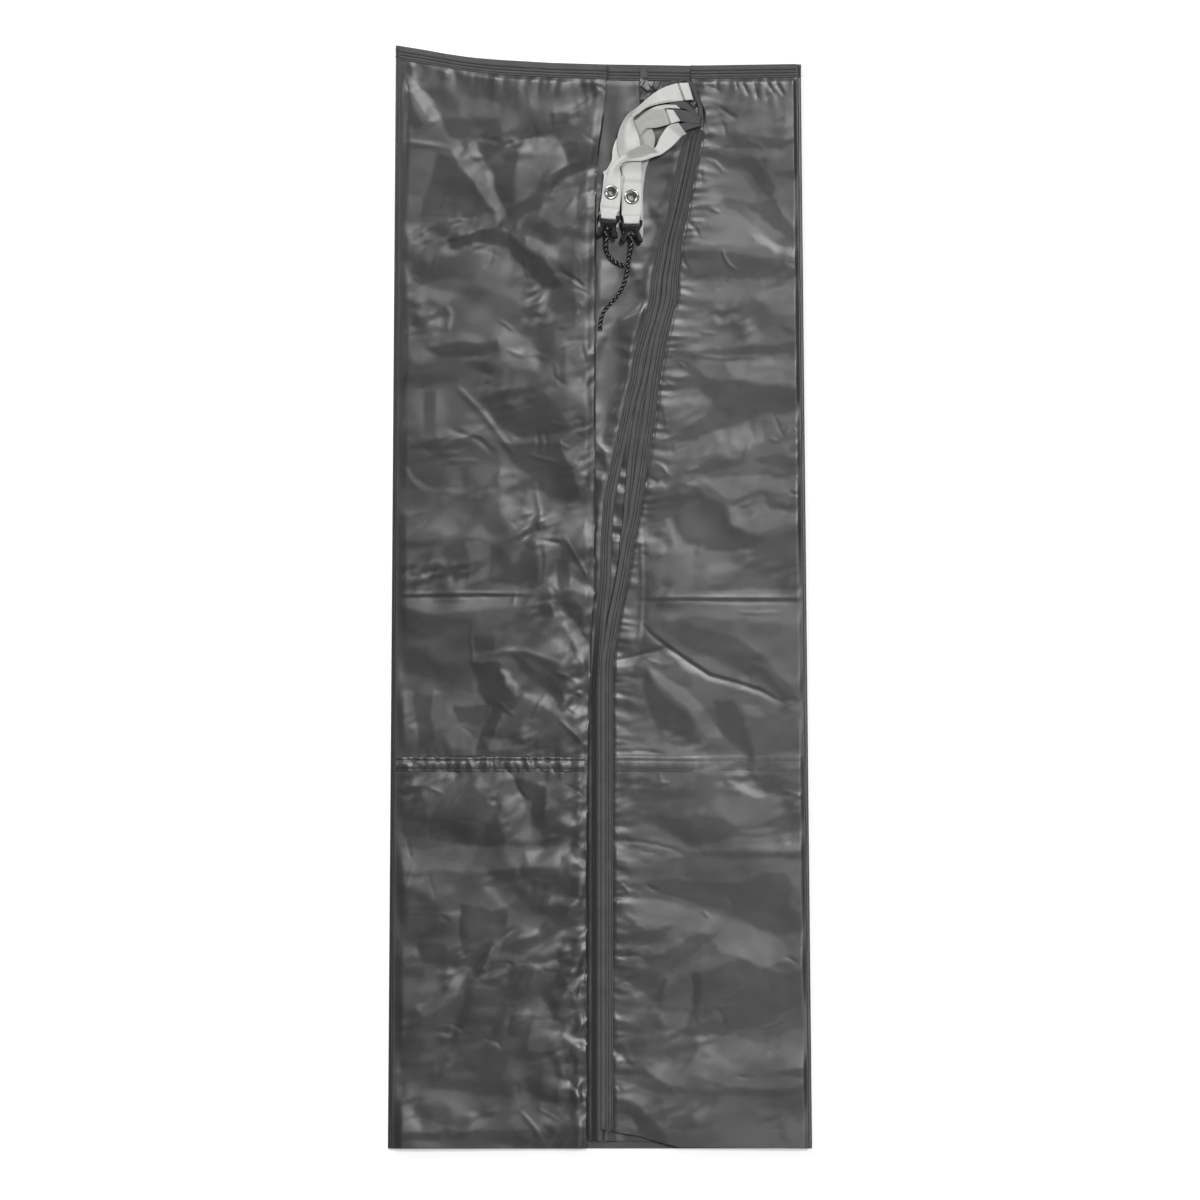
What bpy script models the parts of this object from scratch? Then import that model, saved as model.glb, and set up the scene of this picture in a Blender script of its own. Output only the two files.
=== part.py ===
"""Tent ground sheet, folded flat for storage, with its four corner straps gathered on top.

The sheet lies on Z = 0 with its long side along Y. Lengths are in millimetres until a mesh is made. Places on
the folded sheet are given as (across, down): millimetres to the right of the centre line, and millimetres
down from the top end of the folded sheet.
"""

import math

import bmesh
import bpy
from mathutils import Matrix, Vector

METRES = 0.001

# Folded sheet
folded_length = 1100.0
folded_width = 423.0  # at the bottom end, its widest
fold_bottom_left = fold_bottom_right = folded_width / 2  # centre line to the side folds
fold_top_left = fold_bottom_left - 8.0
fold_top_right = fold_bottom_right - 11.5
fold_setback = 4.0  # how far the upper layers' folds lie inside the back layer's
cloth_thickness = 1.4  # one folded layer, with the air in it
back_thickness = 2.05  # the lowest layer, which is several plies
fit_gap = 0.3

# Binding tape and seam
tape_thickness = 0.35
top_tape_width = 13.5
edge_tape_width = 12.0
seam_down = 708.0  # top end to the middle of the cross seam
seam_width = 16.0
seam_thickness = 0.35
top_edge_drop = 19.0  # top end to the straight run of the top edge

# Straps, eyelets and hooks
webbing_width = 20.0
webbing_thickness = 1.0
tab_thickness = 0.7
eyelet_outer_radius = 7.5
eyelet_hole_radius = 3.6
eyelet_wall = 0.4
eyelet_flange = 0.7
eyelet_from_bar = 24.3  # hook bar to the eyelet's centre, along the strap
hem_past_eyelet = 18.0  # how far the turned-back end reaches above the eyelet
hook_width = 21.6
hook_thickness = 3.6
bar_radius = 1.2
tongue_width = 15.5
cord_radius = 1.9
punch_depth = 8.0
cord_bar_down = 15.0  # from the strap's bar to the cord's bar

# Heights of the layers
tape_rise = fit_gap + tape_thickness  # a tape's outside over the cloth that it wraps
back_low = tape_rise  # the back cloth where its tape wraps it
back_high = back_thickness
inner_low = back_high + tape_rise + fit_gap + tape_rise
inner_high = inner_low + cloth_thickness
flap_low = inner_high + tape_rise + fit_gap + tape_rise
flap_high = flap_low + cloth_thickness
hinge_height = inner_high + tape_rise + fit_gap / 2

CLOTH = (0.135, 0.138, 0.141, 1.0)
TAPE = (0.085, 0.088, 0.092, 1.0)
WEBBING = (0.56, 0.56, 0.54, 1.0)
NICKEL = (0.60, 0.59, 0.57, 1.0)
PLASTIC = (0.012, 0.012, 0.013, 1.0)


# ---------------------------------------------------------------- scene and materials

for old in list(bpy.data.objects):
    bpy.data.objects.remove(old, do_unlink=True)

parts = bpy.data.collections.new("folded_ground_sheet")
cutters = bpy.data.collections.new("cutters")
cutters.hide_render = True
bpy.context.scene.collection.children.link(parts)
bpy.context.scene.collection.children.link(cutters)


def give_material(obj, colour, roughness, metallic=0.0):
    material = bpy.data.materials.new(obj.name)
    material.use_nodes = True
    shader = material.node_tree.nodes["Principled BSDF"]
    shader.inputs["Base Color"].default_value = colour
    shader.inputs["Roughness"].default_value = roughness
    shader.inputs["Metallic"].default_value = metallic
    obj.data.materials.clear()
    obj.data.materials.append(material)


def add_mesh(name, mesh, colour, roughness, metallic=0.0):
    mesh.name = name
    obj = bpy.data.objects.new(name, mesh)
    parts.objects.link(obj)
    give_material(obj, colour, roughness, metallic)
    return obj


def add_pivot(name, place, rotation=None):
    pivot = bpy.data.objects.new(name, None)
    pivot.empty_display_size = 0.03
    pivot.matrix_world = Matrix.Translation(place * METRES) @ (rotation or Matrix.Identity(4))
    parts.objects.link(pivot)
    return pivot


def carry(pivot, *objects):
    """Parents the objects to the empty on their joint's axis, and leaves them where they are."""
    for obj in objects:
        place = obj.matrix_world.copy()
        obj.parent = pivot
        obj.matrix_parent_inverse = pivot.matrix_world.inverted()
        obj.matrix_world = place


# ---------------------------------------------------------------- places on the sheet


def sheet_y(down):
    return folded_length / 2 - down


def left_fold(down, setback=0.0):
    share = down / folded_length
    return -(fold_top_left + (fold_bottom_left - fold_top_left) * share) + setback


def right_fold(down, setback=0.0):
    share = down / folded_length
    return fold_top_right + (fold_bottom_right - fold_top_right) * share - setback


def width_at(route, down):
    """The value that a list of (value, down) pairs gives at a place down the sheet."""
    for (value_a, down_a), (value_b, down_b) in zip(route, route[1:]):
        if down <= down_b:
            share = max(0.0, (down - down_a) / (down_b - down_a))
            return value_a + (value_b - value_a) * share
    return route[-1][0]


def part_of(route, first, last):
    """The stretch of a (across, down) route between two places down the sheet."""
    middle = [place for place in route if first < place[1] < last]
    return [(width_at(route, first), first), *middle, (width_at(route, last), last)]


# Free edges of the layers, from the corner where they meet to the bottom end
flap_edge_start = 84.0
flap_edge = [
    (99.3, flap_edge_start), (96.5, 93), (92.3, 113), (88, 133), (83.5, 153), (79, 173), (74, 193),
    (67, 233), (65, 253), (54.5, 293), (47.5, 333), (42.5, 373), (36.5, 413), (30.5, 453),
    (27.5, 472), (22.5, 493), (15.5, 533), (7.5, 573), (1.5, 613), (1, 633), (1, folded_length - 20),
]  # fmt: skip
flap_edge_width = [
    (0.29, flap_edge_start), (0.45, 93), (0.5, 133), (0.54, 153), (0.66, 193), (0.92, 233), (1, 253),
    (1, folded_length),
]  # fmt: skip
under_edge = [
    (94.5, flap_edge_start), (92, 93), (87.8, 113), (83.5, 133), (79, 153), (74.5, 173), (69.5, 193),
    (62.5, 233), (60.5, 253), (56, 273), (50, 293), (46, 313), (42, 333), (37, 353), (33, 373),
    (27.5, 413), (24, 453), (23, 472), (20, 493), (18.5, 533), (11, 573), (5, 613), (4, 633),
    (4, folded_length - 8),
]  # fmt: skip
left_edge = [
    (93.3, flap_edge_start), (91.4, 93), (87.2, 113), (82.9, 133), (78.4, 153), (73.9, 173), (68.9, 193),
    (61.9, 233), (59.9, 253), (55.4, 273), (49.4, 293), (44, 313), (41, 333), (36, 353), (32, 373),
    (23, 413), (15, 453), (12, 493), (11, 533), (7, 573), (4, 613), (2.5, 643), (2.5, folded_length - 8),
]  # fmt: skip
left_edge_width = [
    (0.29, flap_edge_start), (0.55, 93), (0.75, 113), (0.72, 153), (0.6, 173), (0.83, 193), (0.92, 233),
    (0.92, folded_length),
]  # fmt: skip

# The left flap's free edge is a fold in the cloth
left_flap_edge = [
    (6.5, top_edge_drop), (6, 35), (4, 63), (2, 83), (-1, 103), (-4, 133), (-5, 283), (-5, 543),
    (-8, 573), (-10, 643), (-12, 713), (-13, 803), (-13, folded_length - 1),
]  # fmt: skip

# Top edges, left to right: the left end of each stands up where the sheet was pulled
back_top = [(-100, 14.5), (-50, 17.5), (0, top_edge_drop), (100, top_edge_drop + 1.5)]
corner_rise = [(0.0, 0.0), (28.0, 4.5), (53.0, 9.0), (78.0, 12.5)]  # across from the left fold, down


def top_edge(first, last, lowered=0.0, setback=0.0):
    """The top edge of one layer from one place across to another, as (across, down)."""
    start = left_fold(0, setback)
    every = [(start + across, down) for across, down in corner_rise] + back_top
    every.append((right_fold(top_edge_drop), top_edge_drop))
    route = [(x, down + lowered) for x, down in every]

    def down_at(across):
        return width_at([(down, x) for x, down in route], across)

    middle = [place for place in route if first < place[0] < last]
    return [(first, down_at(first)), *middle, (last, down_at(last))]


# ---------------------------------------------------------------- ways of making the pieces


def plate_mesh(outline, low, high):
    """A flat piece: a filled 2D curve given its thickness, then made a mesh and welded."""
    curve = bpy.data.curves.new("outline", "CURVE")
    curve.dimensions = "2D"
    curve.fill_mode = "BOTH"
    curve.extrude = (high - low) / 2 * METRES
    spline = curve.splines.new("POLY")
    spline.points.add(len(outline) - 1)
    for point, (across, down) in zip(spline.points, outline):
        point.co = (across * METRES, sheet_y(down) * METRES, 0, 1)
    spline.use_cyclic_u = True
    guide = bpy.data.objects.new("outline", curve)
    cutters.objects.link(guide)
    bpy.context.view_layer.update()
    mesh = bpy.data.meshes.new_from_object(guide.evaluated_get(bpy.context.evaluated_depsgraph_get()))
    bpy.data.objects.remove(guide)
    weld_and_face_out(mesh)
    mesh.transform(Matrix.Translation((0, 0, (low + high) / 2 * METRES)))
    return mesh


def weld_and_face_out(mesh):
    shape = bmesh.new()
    shape.from_mesh(mesh)
    bmesh.ops.remove_doubles(shape, verts=shape.verts, dist=1e-6)
    bmesh.ops.recalc_face_normals(shape, faces=shape.faces)
    shape.to_mesh(mesh)
    shape.free()


def plate(name, outline, low, high, colour=CLOTH, roughness=0.55):
    return add_mesh(name, plate_mesh(outline, low, high), colour, roughness)


def apply_modifiers(obj):
    bpy.context.view_layer.update()
    mesh = bpy.data.meshes.new_from_object(obj.evaluated_get(bpy.context.evaluated_depsgraph_get()))
    obj.modifiers.clear()
    obj.data = mesh


def combine(obj, mesh, operation):
    """Joins a second closed mesh to an object, or cuts it away, and applies the Boolean."""
    tool = bpy.data.objects.new(obj.name + "_tool", mesh)
    tool.display_type = "WIRE"
    tool.hide_render = True
    cutters.objects.link(tool)
    boolean = obj.modifiers.new("boolean", "BOOLEAN")
    boolean.operation = operation
    boolean.solver = "EXACT"
    boolean.object = tool
    apply_modifiers(obj)
    bpy.data.objects.remove(tool)


def grid_strip(name, rows, thickness, colour, roughness):
    """An open strip lofted through rows of points, given its thickness by Solidify."""
    shape = bmesh.new()
    verts = [[shape.verts.new(Vector(point) * METRES) for point in row] for row in rows]
    for row_a, row_b in zip(verts, verts[1:]):
        for index in range(len(row_a) - 1):
            shape.faces.new((row_a[index], row_a[index + 1], row_b[index + 1], row_b[index]))
    bmesh.ops.recalc_face_normals(shape, faces=shape.faces)
    mesh = bpy.data.meshes.new(name)
    shape.to_mesh(mesh)
    shape.free()
    obj = add_mesh(name, mesh, colour, roughness)
    solidify = obj.modifiers.new("thickness", "SOLIDIFY")
    solidify.thickness = thickness * METRES
    solidify.offset = 0.0
    return obj


def inward_normals(route, side):
    """Unit vectors across a route, to its right (side 1), to its left (side -1) or straight down (side 0)."""
    points = [Vector((x, sheet_y(down))) for x, down in route]
    normals = []
    for index, point in enumerate(points):
        before = points[max(index - 1, 0)]
        after = points[min(index + 1, len(points) - 1)]
        along = (after - before).normalized()
        normals.append(Vector((-along.y, along.x)) * side if side else Vector((0, -1)))
    return points, normals


def inset(route, distance, side):
    """A route moved across itself, with the same corners as the tape that is swept along it."""
    points, normals = inward_normals(route, side)
    moved = [point + normal * distance for point, normal in zip(points, normals)]
    return [(spot.x, folded_length / 2 - spot.y) for spot in moved]


def edge_tape(name, route, width, low, high, side, width_share=None):
    """Binding tape folded over an edge: a U section swept along the edge's route."""
    mid = tape_thickness / 2
    bottom, top = low - tape_rise + mid, high + tape_rise - mid
    points, normals = inward_normals(route, side)
    rows = []
    for (point, normal), (_, down) in zip(zip(points, normals), route):
        reach = width * (width_at(width_share, down) if width_share else 1.0) - mid
        section = [(reach, top), (fit_gap, top), (0.0, top - fit_gap)]
        section += [(0.0, bottom + fit_gap), (fit_gap, bottom), (reach, bottom)]
        spots = [(point + normal * (inward + mid), height) for inward, height in section]
        rows.append([(spot.x, spot.y, height) for spot, height in spots])
    return grid_strip(name, rows, tape_thickness, TAPE, 0.8)


def seam_strip(name, first, last, high):
    """The felled seam: a doubled strip of cloth across the layer."""
    low = high + fit_gap
    top, bottom = seam_down - seam_width / 2, seam_down + seam_width / 2
    outline = [(first, top), (last, top), (last, bottom), (first, bottom)]
    return plate(name, outline, low, low + seam_thickness)


def smooth_route(points, steps):
    """Points read from a smooth curve through the given points."""
    ends = [points[0] * 2 - points[1], *points, points[-1] * 2 - points[-2]]
    found = []
    for a, b, c, d in zip(ends, ends[1:], ends[2:], ends[3:]):
        for step in range(steps):
            t = step / steps
            bend = (2 * a - 5 * b + 4 * c - d) * t**2 + (3 * b - a - 3 * c + d) * t**3
            found.append(0.5 * (2 * b + (c - a) * t + bend))
    return [*found, points[-1]]


def tube(name, points, radius, colour, roughness):
    curve = bpy.data.curves.new(name, "CURVE")
    curve.dimensions = "3D"
    curve.bevel_depth = radius * METRES
    curve.bevel_resolution = 2
    curve.use_fill_caps = True
    spline = curve.splines.new("POLY")
    spline.points.add(len(points) - 1)
    for spot, point in zip(spline.points, points):
        spot.co = (*(Vector(point) * METRES), 1)
    obj = bpy.data.objects.new(name, curve)
    parts.objects.link(obj)
    give_material(obj, colour, roughness)
    return obj


def turned(name, profile, colour, roughness, metallic, segments=32):
    """A closed ring section turned about the local Z axis, its outer side listed from the top down."""
    mesh = bpy.data.meshes.new(name)
    points = [(radius * METRES, 0, height * METRES) for radius, height in profile]
    count = len(points)
    mesh.from_pydata(points, [(index, (index + 1) % count) for index in range(count)], [])
    obj = add_mesh(name, mesh, colour, roughness, metallic)
    screw = obj.modifiers.new("turn", "SCREW")
    screw.steps = screw.render_steps = segments
    screw.use_merge_vertices = True
    screw.merge_threshold = 1e-6
    screw.use_smooth_shade = True
    apply_modifiers(obj)
    weld_and_face_out(obj.data)
    return obj


# ---------------------------------------------------------------- back layer

seam_top, seam_bottom = seam_down - fit_gap / 2, seam_down + fit_gap / 2
tongue_end = top_tape_width + fit_gap
cloth_inset = tape_thickness + fit_gap


def side_points(fold, first, last, setback):
    return [(fold(first, setback), first), (fold(last, setback), last)]


back_edge = top_edge(left_fold(0) + 0.1, right_fold(top_edge_drop) - 0.1)
back_sides_upper = [(right_fold(seam_top), seam_top), (left_fold(seam_top), seam_top)]
back_upper = plate("back_upper_cloth", inset(back_edge, tongue_end, 0) + back_sides_upper, 0.0, back_high)
tongue = inset(back_edge, cloth_inset, 0) + inset(back_edge, tongue_end + 2, 0)[::-1]
combine(back_upper, plate_mesh(tongue, back_low, back_high), "UNION")
plate(
    "back_lower_cloth",
    side_points(right_fold, seam_bottom, folded_length, 0)
    + side_points(left_fold, seam_bottom, folded_length, 0)[::-1],
    0.0,
    back_high,
)
edge_tape("back_top_binding", back_edge, top_tape_width, back_low, back_high, 0)
seam_strip("back_seam", left_fold(seam_down) + 1, right_fold(seam_down) - 1, back_high)

# ---------------------------------------------------------------- inner layers

inner_drop = 2.5  # the inner layers' top edge below the back's
middle_gap = 52.0  # where the two inner layers part at the top edge


def cloth_edge(route, side):
    """The cloth's own edge inside its tape."""
    return inset(route, cloth_inset, side)


inner_left_top = top_edge(left_fold(0, fold_setback) + 0.4, middle_gap, inner_drop, fold_setback)
inner_left_upper = (
    inset(inner_left_top, cloth_inset, 0)
    + [(middle_gap, 60), (88, 80)]
    + part_of(cloth_edge(left_edge, -1), flap_edge_start + 3, seam_top)
    + [(left_fold(seam_top, fold_setback) + 0.4, seam_top)]
)
plate("inner_left_upper_cloth", inner_left_upper, inner_low, inner_high)
plate(
    "inner_left_lower_cloth",
    part_of(cloth_edge(left_edge, -1), seam_bottom, folded_length - 8)
    + [(left_fold(folded_length - 8, fold_setback), folded_length - 8)]
    + [(left_fold(seam_bottom, fold_setback) + 0.4, seam_bottom)],
    inner_low,
    inner_high,
)
edge_tape("inner_left_top_binding", inner_left_top, top_tape_width, inner_low, inner_high, 0)
edge_tape(
    "inner_left_edge_binding", left_edge, edge_tape_width, inner_low, inner_high, -1, left_edge_width
)

inner_right_top = top_edge(middle_gap + 1, right_fold(top_edge_drop, fold_setback) - 0.4, inner_drop)
inner_right_upper = (
    inset(inner_right_top, cloth_inset, 0)
    + [(right_fold(seam_top, fold_setback) - 0.4, seam_top)]
    + part_of(cloth_edge(under_edge, 1), flap_edge_start + 3, seam_top)[::-1]
    + [(96, 82), (middle_gap + 1, 57)]
)
plate("inner_right_upper_cloth", inner_right_upper, inner_low, inner_high)
plate(
    "inner_right_lower_cloth",
    [(right_fold(seam_bottom, fold_setback) - 0.4, seam_bottom)]
    + [(right_fold(folded_length - 8, fold_setback) - 0.4, folded_length - 8)]
    + part_of(cloth_edge(under_edge, 1), seam_bottom, folded_length - 8)[::-1],
    inner_low,
    inner_high,
)
edge_tape("inner_right_top_binding", inner_right_top, top_tape_width, inner_low, inner_high, 0)
edge_tape(
    "inner_right_edge_binding", under_edge, edge_tape_width, inner_low, inner_high, 1, flap_edge_width
)

# ---------------------------------------------------------------- left flap

flap_drop = 4.5  # the flaps' top edge below the back's at the left corner
left_top = top_edge(left_fold(0, fold_setback) + 0.4, left_flap_edge[0][0], flap_drop - 3, fold_setback)
left_upper = plate(
    "left_flap_upper_cloth",
    inset(left_top, cloth_inset, 0)
    + part_of(left_flap_edge, 36, seam_top)
    + [(left_fold(seam_top, fold_setback) + 0.4, seam_top)],
    flap_low,
    flap_high,
)
left_lower = plate(
    "left_flap_lower_cloth",
    part_of(left_flap_edge, seam_bottom, folded_length - 1)
    + [(left_fold(folded_length - 1, fold_setback) + 0.4, folded_length - 1)]
    + [(left_fold(seam_bottom, fold_setback) + 0.4, seam_bottom)],
    flap_low,
    flap_high,
)
left_binding = edge_tape("left_flap_top_binding", left_top, top_tape_width, flap_low, flap_high, 0)
left_seam = seam_strip(
    "left_flap_seam",
    left_fold(seam_down, fold_setback) + 2,
    width_at(left_flap_edge, seam_down) - 0.5,
    flap_high,
)

# ---------------------------------------------------------------- right flap

corner_edge = [(90.3, 34), (93.5, 44), (98.3, 56), (103.8, 68), (103.8, 80)]
right_top = top_edge(corner_edge[0][0], right_fold(top_edge_drop, fold_setback) - 0.4)
right_upper = plate(
    "right_flap_upper_cloth",
    inset(right_top, cloth_inset, 0)
    + [(right_fold(seam_top, fold_setback) - 0.4, seam_top)]
    + part_of(cloth_edge(flap_edge, 1), flap_edge_start + 2, seam_top)[::-1]
    + corner_edge[::-1],
    flap_low,
    flap_high,
)
flap_bottom = [
    (0, folded_length - 19), (40, folded_length - 13), (65, folded_length - 5), (80, folded_length - 2),
]  # fmt: skip
right_lower = plate(
    "right_flap_lower_cloth",
    [(right_fold(seam_bottom, fold_setback) - 0.4, seam_bottom)]
    + [(right_fold(folded_length, fold_setback) - 0.4, folded_length - 0.5)]
    + flap_bottom[:0:-1]
    + part_of(cloth_edge(flap_edge, 1), seam_bottom, folded_length - 20)[::-1],
    flap_low,
    flap_high,
)
right_binding = edge_tape("right_flap_top_binding", right_top, top_tape_width, flap_low, flap_high, 0)
right_edge = edge_tape(
    "right_flap_edge_binding", flap_edge, edge_tape_width, flap_low, flap_high, 1, flap_edge_width
)
right_seam = seam_strip(
    "right_flap_seam",
    width_at(flap_edge, seam_down) + edge_tape_width + 1,
    right_fold(seam_down, fold_setback) - 2,
    flap_high,
)

carry(
    add_pivot("left_flap_fold", Vector((left_fold(folded_length / 2, fold_setback), 0, hinge_height))),
    left_upper, left_lower, left_binding, left_seam,
)  # fmt: skip
carry(
    add_pivot("right_flap_fold", Vector((right_fold(folded_length / 2, fold_setback), 0, hinge_height))),
    right_upper, right_lower, right_binding, right_edge, right_seam,
)  # fmt: skip

# ---------------------------------------------------------------- corner, where the straps are sewn on

corner_left = 40.0
corner_top = top_edge(corner_left, corner_edge[0][0] - 0.6)
corner_outline = inset(corner_top, cloth_inset, 0)
corner_outline += [(x - 2.0, down) for x, down in corner_edge] + [(88, 81), (66, 79), (corner_left, 57)]
plate("corner_patch", corner_outline, flap_low, flap_high)
edge_tape("corner_top_binding", corner_top, top_tape_width, flap_low, flap_high, 0)

tab_step = tab_thickness + fit_gap
tab_base = flap_high + fit_gap
tab_outlines = {
    "strap_tab_2": [(66, 84), (64, 81), (84, 78), (96, 80), (101.2, 81.4), (86, 85), (70, 89)],
    "strap_tab_4": [(72, 59), (85, 60), (94, 67), (101.4, 76), (101, 78), (92, 72), (82, 64), (72, 63)],
    "strap_tab_3": [(70, 66), (86, 68), (96, 74), (101.3, 77), (101, 79), (90, 78.5), (79, 76), (70, 73)],
    "strap_tab_1": [(78, 41), (87, 39), (91, 54), (100, 66), (101.6, 76), (97, 74), (90, 62), (80, 55)],
}
tabs = {}
tab_tops = {}
for level, (name, outline) in enumerate(tab_outlines.items()):
    low = tab_base + level * tab_step
    tabs[name] = plate(name, outline, low, low + tab_thickness, TAPE, 0.8)
    tab_tops[name] = low + tab_thickness - inner_high

# ---------------------------------------------------------------- straps


def on_sheet(across, down, height):
    """A place by its height above the inner layers, on which the straps and cords lie."""
    return Vector((across, sheet_y(down), inner_high + height))


class StrapEnd:
    """Axes at a strap's hanging end: width across it, up along it towards the corner, out of its face."""

    def __init__(self, across, down, height, tilt, roll):
        self.origin = on_sheet(across, down, height)
        self.up = Vector((math.sin(tilt), math.cos(tilt), 0))
        level = Vector((math.cos(tilt), -math.sin(tilt), 0))
        self.width = level * math.cos(roll) + Vector((0, 0, 1)) * math.sin(roll)
        self.out = self.width.cross(self.up)

    def spot(self, width, up, out):
        return self.origin + self.width * width + self.up * up + self.out * out

    def matrix(self, up=0.0):
        turn = Matrix((self.width, self.up, self.out)).transposed().to_4x4()
        return Matrix.Translation(self.spot(0, up, 0) * METRES) @ turn


def draped_rows(stations):
    """Rows across a strap along its middle: (across, down, height, roll in degrees, share of the width)."""
    middles = [on_sheet(*station[:3]) for station in stations]
    rows = []
    for index, (middle, station) in enumerate(zip(middles, stations)):
        along = middles[min(index + 1, len(middles) - 1)] - middles[max(index - 1, 0)]
        level = Vector((-along.y, along.x, 0)).normalized()
        roll = math.radians(station[3])
        across = level * math.cos(roll) + Vector((0, 0, 1)) * math.sin(roll)
        half = webbing_width / 2 * station[4]
        rows.append([middle - across * half, middle, middle + across * half])
    return rows


def looped_rows(end):
    """The strap's end: down in front, round the hook's bar, and back up behind to the eyelet."""
    layer = webbing_thickness / 2 + fit_gap / 2
    turn = bar_radius + fit_gap + webbing_thickness / 2
    path = [(eyelet_from_bar + hem_past_eyelet, layer, 1), (15, layer, 1), (5.6, layer + 0.7, 1)]
    path += [(4.2, turn, tongue_width / webbing_width), (0, turn, tongue_width / webbing_width)]
    for angle in (45, 90, 135):
        spot = math.radians(angle)
        path.append((-turn * math.sin(spot), turn * math.cos(spot), tongue_width / webbing_width))
    path += [(up, -out, share) for up, out, share in path[4::-1]]
    rows = []
    for up, out, share in path:
        half = webbing_width / 2 * share
        rows.append([end.spot(-half, up, out), end.spot(0, up, out), end.spot(half, up, out)])
    return rows


def eyelet(number, end, up, thickness):
    """A turned eyelet through the strap, and the washer that it is rolled over behind."""
    barrel = eyelet_hole_radius + eyelet_wall
    face, reach = thickness / 2 + fit_gap, thickness / 2 + fit_gap + eyelet_flange
    crown = reach - 0.25
    front = [(eyelet_outer_radius, crown - 0.2), (eyelet_outer_radius, face), (barrel, face)]
    front += [(barrel, -reach), (eyelet_hole_radius, -reach), (eyelet_hole_radius, crown - 0.1)]
    front += [(eyelet_hole_radius + 0.9, reach), (eyelet_outer_radius - 1.3, reach)]
    back = [(eyelet_outer_radius, -face), (eyelet_outer_radius, -crown), (eyelet_outer_radius - 1.2, -reach)]
    back += [(barrel + fit_gap + 0.5, -reach), (barrel + fit_gap, -crown), (barrel + fit_gap, -face)]
    ring = turned(f"eyelet_{number}", front, NICKEL, 0.25, 1.0)
    washer = turned(f"eyelet_washer_{number}", back, NICKEL, 0.3, 1.0)
    for obj in (ring, washer):
        obj.matrix_world = end.matrix(up)
    return [ring, washer]


def punch(obj, end, up):
    """The eyelet's hole through the strap."""
    radius = eyelet_hole_radius + eyelet_wall + fit_gap
    shape = bmesh.new()
    bmesh.ops.create_cone(
        shape,
        cap_ends=True,
        segments=24,
        radius1=radius * METRES,
        radius2=radius * METRES,
        depth=punch_depth * METRES,
    )
    mesh = bpy.data.meshes.new("hole")
    shape.to_mesh(mesh)
    shape.free()
    mesh.transform(end.matrix(up))
    apply_modifiers(obj)
    combine(obj, mesh, "DIFFERENCE")


right_end = StrapEnd(31.5, 176.3, 8.05, 0.0, 0.0)
left_end = StrapEnd(9.0, 171.5, 8.65, math.radians(6), math.radians(18))
lower_height = webbing_thickness / 2 + 2 * fit_gap + eyelet_flange + 0.05  # its eyelet on the inner cloth
lower_left_end = StrapEnd(8.5, 182, lower_height, 0.0, 0.0)
lower_right_end = StrapEnd(33, 192, lower_height, 0.0, 0.0)
eyelet_from_end = 20.0

strap_routes = {
    "strap_1": [
        (90.6, 46.5, tab_tops["strap_tab_1"] + 0.8, 0, 0.9), (78, 47.5, 7.85, 0, 0.9),
        (61, 52, 8.05, -8, 0.72), (49, 58.5, 8.45, -40, 0.55), (38, 65, 8.75, -42, 0.5),
        (31, 73, 8.55, -25, 0.65), (28, 86, 8.15, -5, 0.92), (27.8, 100, 7.85, 0, 1), (29.5, 114, 7.95, 0, 1),
    ],
    "strap_2": [
        (75, 83.5, tab_tops["strap_tab_2"] + 0.85, 0, 1), (66, 96, 5.95, 0, 0.95), (58, 104, 7.75, 0, 0.55),
        (48, 106, 9.45, 0, 0.85), (34, 111, 9.95, 0, 0.7), (22.5, 115.5, 10.15, 8, 0.48),
        (14.5, 123, 9.75, 12, 0.6),
    ],
    "strap_3": [
        (82, 70, tab_tops["strap_tab_3"] + 0.8, 0, 0.62), (68, 71, 6.85, 0, 0.62), (54, 75.5, 6.15, 0, 0.68),
        (44, 85, 5.15, 0, 0.7), (33, 98, 4.65, 0, 0.8), (21, 112, 3.95, 0, 0.85), (13, 127, 2.35, 0, 0.92),
        (9.5, 144, lower_height, 0, 1), (8.5, 160, lower_height, 0, 1), (8.5, 182, lower_height, 0, 1),
    ],
    "strap_4": [
        (80, 61.3, tab_tops["strap_tab_4"] + 0.85, 0, 0.22), (65, 61.4, 5.95, 0, 0.26),
        (52, 68, 4.35, 0, 0.42), (43, 81, 2.55, 0, 0.75), (39, 98, lower_height, 0, 0.85),
        (34, 120, lower_height, 0, 1), (33, 145, lower_height, 0, 1), (33, 192, lower_height, 0, 1),
    ],
}  # fmt: skip
strap_ends = [right_end, left_end, lower_left_end, lower_right_end]

straps = list(tabs.values())
for number, ((name, route), end) in enumerate(zip(strap_routes.items(), strap_ends), 1):
    rows = draped_rows(route)
    if number <= 2:
        rows += looped_rows(end)
        thickness, up = webbing_thickness * 2 + fit_gap, eyelet_from_bar
    else:
        thickness, up = webbing_thickness, eyelet_from_end
    strap = grid_strip(name, rows, webbing_thickness, WEBBING, 0.75)
    punch(strap, end, up)
    straps += [strap, *eyelet(number, end, up, thickness)]

strap_hinge = on_sheet(102.5, 78, 6.95)
carry(add_pivot("strap_bundle_lift", strap_hinge), *straps)

# ---------------------------------------------------------------- cord hooks

half = hook_width / 2
arm = tongue_width / 2 + 2 * fit_gap
hook_half = [
    (0, 8.6), (2.6, 9.5), (4.6, 12), (5.4, 15), (half - 5.0, 18), (half - 3.8, 20.8), (half - 1.8, 21.6),
    (half, 20.6), (half - 0.2, 18), (half - 2.2, 14), (half - 3.8, 11), (half - 4.2, 9), (half - 2.8, 6.6),
    (half - 0.6, 4.4), (half, 2), (half, -0.6), (half - 0.9, -1.7), (arm + 0.6, -1.7), (arm, -0.6), (arm, 2),
    (arm - 1.1, 3.7), (4, 4.4), (0, 4.6),
]  # fmt: skip


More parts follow.
